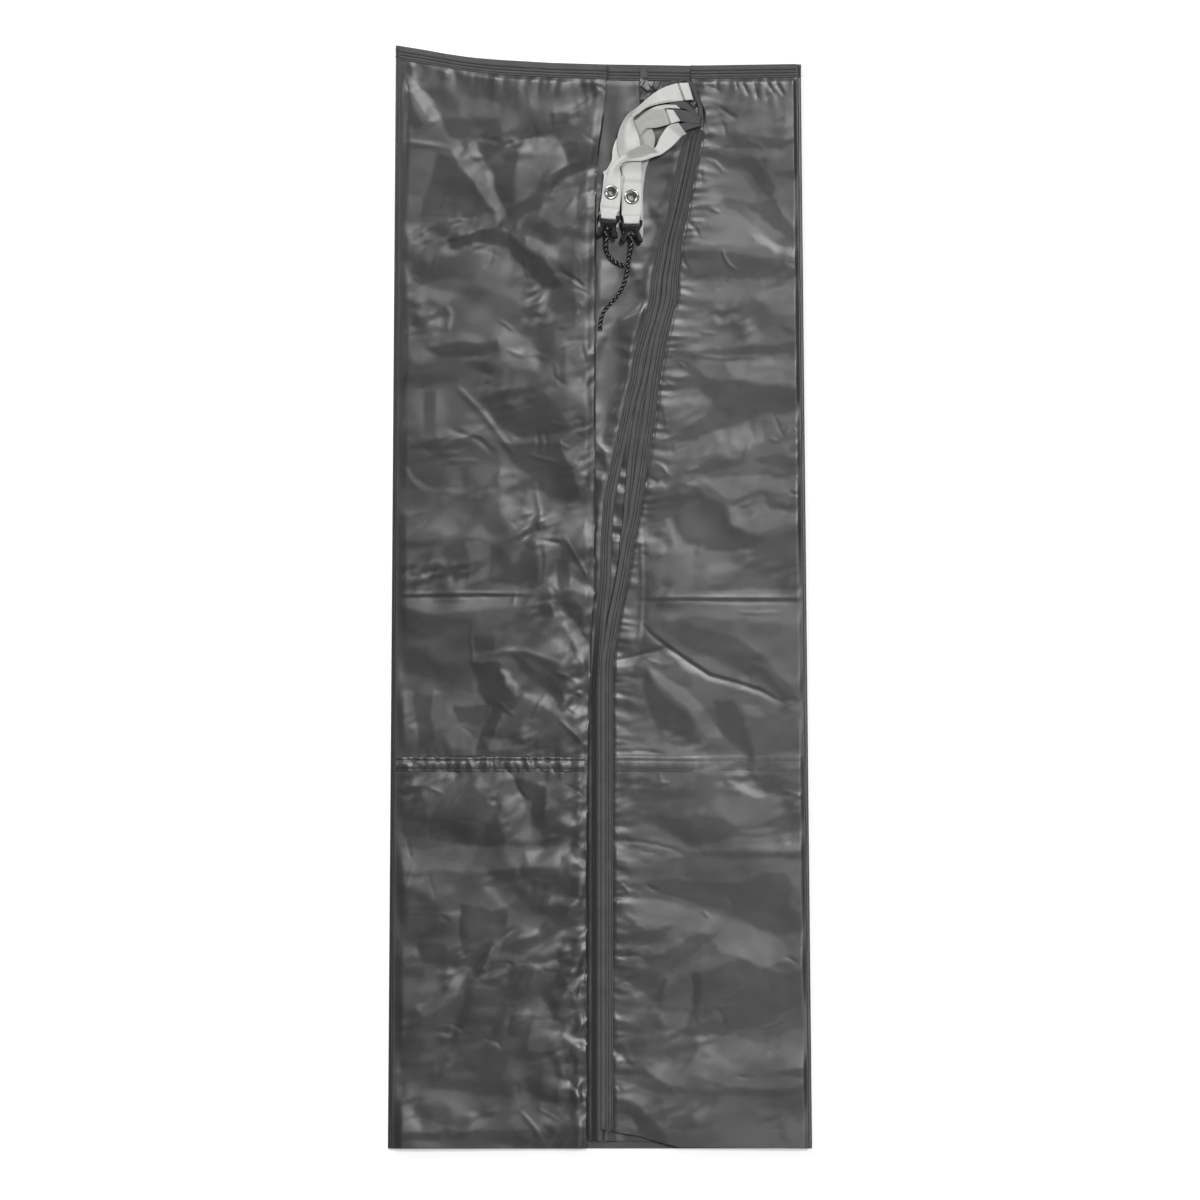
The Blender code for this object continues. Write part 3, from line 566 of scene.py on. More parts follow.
def addGathers(height, edgeGap, along, rise, reach, pitch, seed):
    # short puckers that run square to a sewn edge and die away from it
    wander = gradientNoise(along, edgeGap, pitch * 6, seed) * pitch * 1.4
    ripple = gradientNoise(along + wander, edgeGap * 0.18, pitch, seed + 1)
    strength = 0.45 + 1.1 * np.clip(gradientNoise(along, edgeGap * 0, pitch * 5, seed + 2) + 0.35, 0, 1)
    height += rise * ripple * strength * np.exp(-((edgeGap / reach) ** 1.2)) * 2.2


# edges of the layers

foldTop, foldBottom = (-203.5, 200.0), (-211.5, 211.5)


def sideFold(side, down, setback=0.0):
    # side is 0 for the left fold and 1 for the right one
    share = np.asarray(down, float) / (2 * halfLength)
    line = foldTop[side] + (foldBottom[side] - foldTop[side]) * share
    return line + setback * (1 if side == 0 else -1)


def along(route):
    # the across value of a (across, down) line, at any place down
    xs, downs = [p[0] for p in route], [p[1] for p in route]
    return lambda down: np.interp(down, downs, xs)


flapEdge = [
    (99.3, 84), (96.5, 93), (92.3, 113), (88, 133), (83.5, 153), (79, 173), (74, 193), (67, 233), (65, 253),
    (54.5, 293), (47.5, 333), (42.5, 373), (36.5, 413), (30.5, 453), (27.5, 472), (22.5, 493), (15.5, 533),
    (7.5, 573), (1.5, 613), (1, 633), (1, 1080),
]  # fmt: skip
flapEdgeShare = [(0.29, 84), (0.45, 93), (0.5, 133), (0.54, 153), (0.66, 193), (0.92, 233), (1, 253), (1, 1100)]
underEdge = [
    (94.5, 84), (92, 93), (87.8, 113), (83.5, 133), (79, 153), (74.5, 173), (69.5, 193), (62.5, 233), (60.5, 253),
    (56, 273), (50, 293), (46, 313), (42, 333), (37, 353), (33, 373), (27.5, 413), (24, 453), (23, 472),
    (20, 493), (18.5, 533), (11, 573), (5, 613), (4, 633), (4, 1092),
]  # fmt: skip
leftEdge = [
    (93.3, 84), (91.4, 93), (87.2, 113), (82.9, 133), (78.4, 153), (73.9, 173), (68.9, 193), (61.9, 233),
    (59.9, 253), (55.4, 273), (49.4, 293), (44, 313), (41, 333), (36, 353), (32, 373), (23, 413), (15, 453),
    (12, 493), (11, 533), (7, 573), (4, 613), (2.5, 643), (2.5, 1092),
]  # fmt: skip
leftEdgeShare = [(0.29, 84), (0.55, 93), (0.75, 113), (0.72, 153), (0.6, 173), (0.83, 193), (0.92, 233), (0.92, 1100)]
leftFlapEdge = [
    (6.5, 19), (6, 35), (4, 63), (2, 83), (-1, 103), (-4, 133), (-5, 283), (-5, 543), (-8, 573), (-10, 643),
    (-12, 713), (-13, 803), (-13, 1099),
]  # fmt: skip
cornerEdge = [(90.3, 34), (93.5, 44), (98.3, 56), (103.8, 68), (103.8, 80)]
cornerRise = [(0, 0), (28, 4.5), (53, 9), (78, 12.5)]
backTop = [(-100, 14.5), (-50, 17.5), (0, 19), (100, 20.5), (200.4, 19)]


def topLine(across, lowered=0.0, setback=0.0):
    # the top edge of a layer: its left end stands up where the sheet was pulled
    start = foldTop[0] + setback
    xs = [start + p[0] for p in cornerRise] + [p[0] for p in backTop]
    downs = [p[1] for p in cornerRise + backTop]
    return np.interp(across, xs, downs) + lowered


# meshes


def finishMesh(name, vertices, faces, uvs, material):
    mesh = bpy.data.meshes.new(name)
    mesh.from_pydata(vertices, [], faces)
    layer = mesh.uv_layers.new(name="clothMap")
    corners = np.zeros(len(mesh.loops), dtype=np.int32)
    mesh.loops.foreach_get("vertex_index", corners)
    layer.data.foreach_set("uv", np.asarray(uvs, np.float32)[corners].ravel())
    mesh.polygons.foreach_set("use_smooth", [True] * len(mesh.polygons))
    mesh.materials.append(material)
    mesh.update()
    return addObject(name, mesh)


def shadeVertices(piece, values):
    # painted shade: how dark each vertex is drawn, 0 for its own colour
    layer = piece.data.attributes.new("shade", "FLOAT", "POINT")
    layer.data.foreach_set("value", np.asarray(values, np.float32).ravel())


def gridFaces(rows, columns, flip=False, closeColumns=False):
    index = np.arange(rows * columns).reshape(rows, columns)
    if closeColumns:
        index = np.concatenate([index, index[:, :1]], axis=1)
    a, b, c, d = index[:-1, :-1], index[:-1, 1:], index[1:, 1:], index[1:, :-1]
    order = (a, b, c, d) if flip else (a, d, c, b)
    return np.stack([part.ravel() for part in order], axis=1).tolist()


def tubeFaces(rows, columns):
    # a tube of closed rings with a face over each end
    last = (rows - 1) * columns
    ends = [list(range(columns)), [last + i for i in range(columns - 1, -1, -1)]]
    return gridFaces(rows, columns, closeColumns=True) + ends


def gridPiece(name, across, down, height, material, flip=False, maps=None):
    # rows run down the sheet, columns across it, so the faces look up; its map is its place, or what maps says
    points = np.stack([across * metres, (halfLength - down) * metres, height * metres], axis=-1)
    uvs = np.stack(maps or (points[..., 0], points[..., 1]), axis=-1)
    faces = gridFaces(*across.shape, flip)
    return finishMesh(name, points.reshape(-1, 3).tolist(), faces, uvs.reshape(-1, 2), material)


def layerGrid(left, right, top, bottom, step, first=20.0, last=2 * halfLength):
    # a grid whose sides follow the layer's own edges, between two places down the sheet
    middle = np.array([(first + last) / 2])
    rows = int((last - first) / step) + 1
    columns = int((right(middle)[0] - left(middle)[0]) / step) + 1
    u, v = np.meshgrid(np.linspace(0, 1, columns), np.linspace(0, 1, rows))
    down = first + v * (last - first)
    for _ in range(4):
        across = left(down) + (right(down) - left(down)) * u
        down = top(across) + (bottom(across) - top(across)) * v
    return across, down


layerHeight = {"inner": 4.35, "flap": 7.35}
bottomEdge = {"flap": 1099.5, "inner": 1092.0, "back": 1099.6}
# how far short of its side fold a layer's flat part stops
foldSetback = 4.4
# how low and how high a flap's cloth may lie, and how far it stands up beside its tapes
flapRoom, flapLoft = (5.9, 11.3), 1.3
# how low an inner layer's cloth may lie
innerLowest = 3.1
# how far from the top edge the cloth comes out from under its tape
outOfTape = (11, 18)
bindingTape = {"rise": 0.65, "topWidth": 13.5, "edgeWidth": 12.0, "step": 1.6}


def level(value):
    return lambda places: np.full_like(places, value)


# left flap

leftFlap = {
    "step": 1.65,
    "loose": 0.24,
    "rolling": 1.0,
    "strays": 110,
    "edge": leftFlapEdge,
    "crowding": [(0.5, 48, 19, 1.5), (0.42, 24, 10, 1.6)],
    "crushed": (770, 1090, 1.0),
    "depth": 1.35,
    "seed": 11,
    # how far each facet turns to the window, how soft its edge is, its corners
    "facets": [
        (0.6, 4, [(-198, 29), (-190, 29), (-172, 49), (-160, 73), (-170, 75), (-186, 51)]),
        (-0.45, 4, [(-200, 35), (-195, 41), (-185, 61), (-175, 79), (-185, 85), (-198, 57)]),
        (-0.4, 4, [(-160, 73), (-100, 73), (-98, 88), (-102, 95), (-150, 93)]),
        (-0.45, 4, [(-160, 108), (-120, 118), (-103, 168), (-180, 178), (-185, 193), (-175, 153)]),
        (0.5, 4, [(-150, 101), (-138, 99), (-118, 123), (-94, 153), (-88, 188), (-100, 191), (-106, 163),
         (-130, 135)]),
        (-0.5, 4, [(-120, 98), (-85, 103), (-85, 153), (-95, 153), (-110, 125)]),
        (0.4, 4, [(-85, 93), (-30, 93), (-35, 121), (-55, 135), (-70, 153), (-82, 158)]),
        (-0.7, 3, [(-101, 181), (-85, 163), (-69, 149), (-54, 131), (-37, 120), (-15, 118), (-15, 127),
         (-33, 131), (-47, 142), (-61, 159), (-76, 174), (-93, 191)]),
        (0.35, 4, [(-55, 148), (-20, 143), (-20, 178), (-50, 181), (-65, 168)]),
        (-0.9, 3, [(-154, 193), (-130, 189), (-110, 184), (-92, 189), (-70, 207), (-52, 215), (-40, 238),
         (-48, 243), (-60, 238), (-75, 225), (-95, 203), (-110, 196), (-130, 199), (-150, 202)]),
        (0.5, 3, [(-78, 189), (-60, 195), (-38, 209), (-40, 217), (-60, 208), (-75, 200)]),
        (0.3, 4, [(-25, 193), (-3, 193), (-3, 283), (-25, 283)]),
        (-0.5, 4, [(-40, 98), (-20, 96), (-18, 113), (-30, 116)]),
        (-0.25, 8, [(-65, 33), (-38, 33), (-40, 51), (-62, 53)]),
        (-0.25, 6, [(-50, 66), (-30, 68), (-32, 78), (-48, 78)]),
        (-0.6, 4, [(-175, 301), (-150, 298), (-125, 297), (-100, 293), (-100, 305), (-130, 310),
         (-160, 311)]),
        (-0.3, 5, [(-200, 329), (-140, 329), (-140, 337), (-200, 338)]),
        (0.25, 4, [(-200, 343), (-100, 341), (-103, 378), (-130, 393), (-200, 393)]),
        (-0.2, 5, [(-175, 345), (-163, 345), (-163, 391), (-175, 391)]),
        (-0.6, 3, [(-125, 353), (-100, 345), (-60, 343), (-42, 361), (-30, 383), (-55, 388), (-80, 393),
         (-100, 378)]),
        (0.4, 4, [(-35, 293), (-10, 293), (-10, 373), (-33, 373)]),
        (-0.3, 6, [(-205, 393), (-100, 393), (-100, 443), (-205, 443)]),
        (0.35, 4, [(-197, 415), (-190, 418), (-166, 443), (-175, 445)]),
        (-0.65, 3, [(-100, 398), (-40, 398), (-30, 423), (-17, 453), (-50, 451), (-65, 433), (-90, 413)]),
        (0.5, 3, [(-27, 415), (-10, 413), (-22, 423)]),
        (0.4, 3, [(-60, 456), (-17, 458), (-15, 488), (-40, 493), (-55, 493)]),
        (0.4, 3, [(-55, 498), (-40, 498), (-40, 543), (-54, 543)]),
        (-0.5, 3, [(-45, 513), (-30, 513), (-28, 551), (-42, 551)]),
        (-0.5, 3, [(-110, 533), (-80, 513), (-65, 498), (-62, 538)]),
        (0.3, 4, [(-130, 493), (-110, 498), (-112, 533), (-132, 538)]),
        (0.45, 3, [(-208, 554), (-65, 554), (-30, 554), (-60, 559), (-170, 567), (-205, 559)]),
        (-0.3, 6, [(-200, 565), (-170, 568), (-125, 573), (-128, 643), (-200, 643)]),
        (-0.9, 3, [(-128, 613), (-100, 615), (-95, 633), (-82, 656), (-100, 668), (-105, 688), (-125, 708),
         (-122, 688), (-110, 663), (-120, 643)]),
        (-0.5, 4, [(-126, 588), (-105, 588), (-105, 603), (-126, 603)]),
        (-0.5, 4, [(-90, 611), (-80, 610), (-52, 630), (-32, 653), (-40, 655), (-60, 637)]),
        (0.55, 3, [(-103, 619), (-95, 621), (-75, 643), (-33, 661), (-37, 668), (-80, 649)]),
        (0.85, 3, [(-49, 559), (-40, 561), (-24, 575), (-14, 596), (-6, 621), (-6, 635), (-12, 633),
         (-18, 615), (-28, 593), (-40, 575)]),
        (-0.6, 4, [(-38, 558), (-18, 556), (-6, 593), (-18, 575)]),
        (-0.4, 5, [(-185, 643), (-165, 643), (-168, 708), (-180, 708)]),
        (-0.5, 3, [(-143, 658), (-110, 658), (-112, 671), (-127, 678), (-140, 673)]),
        (0.4, 4, [(-117, 688), (-85, 691), (-88, 701), (-110, 703)]),
        (-0.6, 3, [(-125, 736), (-100, 768), (-95, 798), (-130, 801), (-170, 793), (-172, 778),
         (-145, 753)]),
        (-0.35, 6, [(-210, 753), (-172, 753), (-175, 788), (-210, 788)]),
        (-0.55, 3, [(-85, 733), (-55, 738), (-55, 778), (-62, 783)]),
        (0.4, 4, [(-100, 753), (-70, 753), (-68, 791), (-92, 793)]),
        (0.4, 5, [(-200, 801), (-40, 798), (-20, 803), (-25, 821), (-200, 823)]),
        (0.7, 3, [(-75, 803), (-40, 801), (-40, 815), (-72, 817)]),
        (-0.5, 3, [(-80, 819), (-40, 819), (-40, 829), (-80, 831)]),
        (-0.6, 2.5, [(-60, 833), (-45, 833), (-44, 843), (-55, 843)]),
        (-0.6, 2.5, [(-30, 829), (-20, 829), (-20, 843), (-27, 843)]),
        (-0.55, 3, [(-140, 858), (-95, 860), (-95, 893), (-120, 913), (-138, 903)]),
        (-0.4, 4, [(-180, 893), (-150, 895), (-150, 913), (-175, 915)]),
        (-0.35, 4, [(-195, 918), (-175, 918), (-177, 928), (-195, 927)]),
        (-0.5, 4, [(-70, 833), (-48, 835), (-50, 868), (-67, 865)]),
        (0.75, 3, [(-120, 918), (-110, 900), (-95, 885), (-60, 879), (-60, 887), (-92, 893), (-106, 908),
         (-114, 921)]),
        (0.65, 3, [(-183, 961), (-154, 939), (-134, 915), (-126, 920), (-146, 947), (-176, 969)]),
        (0.4, 3, [(-130, 925), (-40, 910), (-40, 917), (-130, 933)]),
        (-0.5, 4, [(-90, 918), (-65, 918), (-67, 943), (-88, 943)]),
        (-0.35, 5, [(-135, 938), (-85, 938), (-85, 958), (-135, 958)]),
        (-0.45, 4, [(-130, 943), (-120, 945), (-145, 995), (-154, 991)]),
        (-0.35, 4, [(-90, 968), (-65, 968), (-67, 988), (-90, 988)]),
        (0.4, 4, [(-70, 973), (-40, 973), (-40, 1003), (-70, 1003)]),
        (0.7, 2.5, [(-35, 928), (-20, 928), (-22, 943), (-33, 943)]),
        (-0.8, 2.5, [(-20, 938), (-8, 938), (-10, 953), (-20, 953)]),
        (-0.7, 2.5, [(-23, 963), (-17, 963), (-17, 978), (-23, 978)]),
        (-0.7, 2.5, [(-19, 1003), (-10, 1003), (-10, 1053), (-18, 1053)]),
        (0.7, 2.5, [(-40, 1013), (-25, 1013), (-27, 1028), (-38, 1028)]),
        (0.6, 2.5, [(-40, 1030), (-30, 1030), (-30, 1048), (-40, 1048)]),
        (0.5, 3, [(-60, 1053), (-20, 1055), (-23, 1078), (-55, 1075)]),
        (0.35, 5, [(-210, 1038), (-140, 1043), (-50, 1053), (-55, 1081), (-210, 1083)]),
        (-0.4, 4, [(-200, 1013), (-165, 1013), (-165, 1031), (-200, 1033)]),
        (-0.8, 3, [(-48, 1096), (-39, 1081), (-21, 1055), (-13, 1059), (-31, 1085), (-40, 1099)]),
        (0.7, 2.5, [(-20, 1068), (-12, 1070), (-13, 1098), (-19, 1096)]),
        (-0.5, 3, [(-110, 1091), (-85, 1085), (-55, 1094), (-85, 1097)]),
        (-0.4, 3, [(-210, 1083), (-160, 1084), (-160, 1091), (-210, 1092)]),
    ],
    # the line of each crease, its rise, its width to the right and to the left
    "creases": [
        ([(-197, 96), (-175, 99), (-152, 102)], 0.31, 4, 6),
        ([(-120, 93), (-100, 96)], -0.31, 3, 5),
        ([(-155, 258), (-149, 268), (-152, 283), (-175, 298)], 0.43, 5, 9),
        ([(-95, 303), (-78, 309), (-65, 307), (-50, 313)], 0.28, 3, 5),
        ([(-145, 338), (-120, 363), (-85, 408)], 0.37, 5, 7),
        ([(-150, 417), (-135, 414), (-120, 415)], 0.22, 3, 4),
        ([(-150, 383), (-120, 393), (-105, 408)], -0.37, 4, 6),
        ([(-72, 408), (-55, 413), (-40, 416)], 0.25, 3, 3),
        ([(-63, 383), (-61, 398), (-64, 408)], -0.28, 3, 3),
        ([(-55, 385), (-53, 397), (-55, 405)], -0.28, 3, 3),
        ([(-65, 438), (-60, 463), (-60, 478), (-58, 488)], 0.43, 3, 5),
        ([(-67, 493), (-52, 494), (-38, 496)], -0.43, 3, 4),
        ([(-60, 494), (-57, 513), (-60, 543)], -0.37, 3, 4),
        ([(-37, 488), (-22, 513), (-3, 543)], 0.37, 4, 4),
        ([(-205, 471), (-188, 467), (-170, 465)], 0.19, 3, 3),
        ([(-126, 571), (-128, 593), (-126, 613)], 0.25, 2.5, 4),
        ([(-112, 609), (-95, 604), (-75, 604), (-38, 617)], 0.56, 5, 7),
        ([(-47, 624), (-35, 628), (-20, 636)], 0.34, 3, 4),
        ([(-32, 642), (-20, 646), (-10, 652)], 0.34, 3, 4),
        ([(-42, 671), (-27, 685), (-10, 703)], 0.37, 4, 4),
        ([(-175, 774), (-155, 768), (-140, 747)], 0.31, 3, 5),
        ([(-62, 794), (-40, 788), (-25, 778), (-10, 766)], 0.5, 4, 6),
        ([(-200, 868), (-193, 838), (-185, 813)], 0.15, 2.5, 2.5),
        ([(-200, 864), (-170, 865), (-140, 867)], 0.15, 2.5, 2.5),
        ([(-70, 1015), (-55, 1008), (-33, 998)], -0.37, 4, 5),
        ([(-80, 1061), (-65, 1078), (-55, 1095)], 0.34, 3, 5),
        ([(-35, 73), (-22, 64), (-7, 53)], 0.37, 3, 4),
        ([(-14, 54), (-6, 48), (2, 44)], 0.31, 3, 3),
        ([(-32, 95), (-22, 89), (-10, 82)], 0.31, 3, 3),
        ([(-17, 89), (-6, 96), (4, 103)], -0.31, 3, 3),
        ([(-36, 189), (-30, 178), (-15, 163), (-3, 159)], 0.37, 3, 5),
        ([(-38, 169), (-25, 153), (0, 146)], 0.37, 3, 5),
        ([(-40, 225), (-23, 235), (-14, 243)], -0.43, 3, 4),
        ([(-175, 170), (-150, 172), (-120, 173)], -0.19, 3, 3),
        ([(-211, 551), (-170, 550), (-120, 549), (-60, 550)], -0.6, 2.2, 4),
        ([(-210, 547), (-160, 546), (-70, 546)], 0.4, 2, 5),
    ],
}


def crumpledHeight(across, down, spec):
    # the same for every layer: rolling ground, facets, then the placed creases
    height = spec["rolling"] * gradientNoise(across, down, 85, spec["seed"] + 2, 30, 1.6) * 1.6
    height += facetField(spec, across.min(), across.max())(across, down)
    for crease in spec["creases"]:
        addCrease(height, across, down, *crease)
    # short stray creases, most of them near the free edge
    chance = np.random.default_rng(spec["seed"] + 20)
    edge, left, right = along(spec["edge"]), across.min(), across.max()
    for _ in range(spec["strays"]):
        at = chance.uniform(30, 1080)
        gap = chance.exponential(38) if chance.random() < 0.7 else chance.uniform(0, 190)
        spot = np.array([edge(at) + gap * (1 if right > 100 else -1), at])
        heading, length = chance.normal(0.25, 0.8), chance.uniform(8, 30)
        line = [tuple(spot)]
        for _ in range(3):
            spot = spot + length / 3 * np.array([math.cos(heading), math.sin(heading)])
            heading += chance.normal(0, 0.3)
            line.append(tuple(spot))
        rise = chance.choice([-1, 1]) * chance.uniform(0.12, 0.34)
        addCrease(height, across, down, line, rise, chance.uniform(1.8, 3), chance.uniform(2.5, 5))
    return height


def settle(height, low, high):
    # keeps a layer between the one below it and a little above its own thickness, without flat spots
    middle, reach = (low + high) / 2, (high - low) / 2
    return middle + reach * np.tanh((height - middle) / reach)


across, down = layerGrid(
    lambda d: sideFold(0, d, foldSetback),
    along(leftFlapEdge),
    lambda x: topLine(x, 2.2, 4),
    level(bottomEdge["flap"]),
    leftFlap["step"],
)
sideGap, edgeGap, topGap = across - across[:, :1], across[:, -1:] - across, down - down[:1]
relief = crumpledHeight(across, down, leftFlap)
addGathers(relief, np.clip(topGap - 13, 0, None), across, 0.9, 16, 9, 31)
addGathers(relief, np.abs(down - 716), across, 0.35, 12, 7, 51)
calm = ease(topGap, *outOfTape) * ease(sideGap, 1, 10)
height = layerHeight["flap"] + flapLoft * calm * ease(edgeGap, 0, 10) + relief * calm
height = np.where(calm > 0.02, settle(height, *flapRoom), height)
# the free edge turns under, as steps outwards and down from its line
hem = {"radius": 0.62, "steps": 6, "inward": (4.0, 9.0, 14.0), "drop": 1.3}
hemSteps = []
for index in range(hem["steps"]):
    angle = math.pi * (index + 1) / hem["steps"]
    hemSteps.append((hem["radius"] * math.sin(angle), hem["radius"] * (1 - math.cos(angle))))
hemSteps += [(-inward, hem["drop"]) for inward in hem["inward"]]
edgeLine, edgeDown = along(leftFlapEdge)(down[:, -1:]), down[:, -1:]
across = np.concatenate([across] + [edgeLine + outward for outward, drop in hemSteps], axis=1)
turned = [np.full_like(edgeDown, layerHeight["flap"] - drop) for outward, drop in hemSteps]
height = np.concatenate([height] + turned, axis=1)
down = np.concatenate([down] + [edgeDown] * len(hemSteps), axis=1)
leftFlapCloth = gridPiece("leftFlapCloth", across, down, height, shadedLeftCloth)
leftFlapSide = (across[:, 0].copy(), down[:, 0].copy())

# right flap

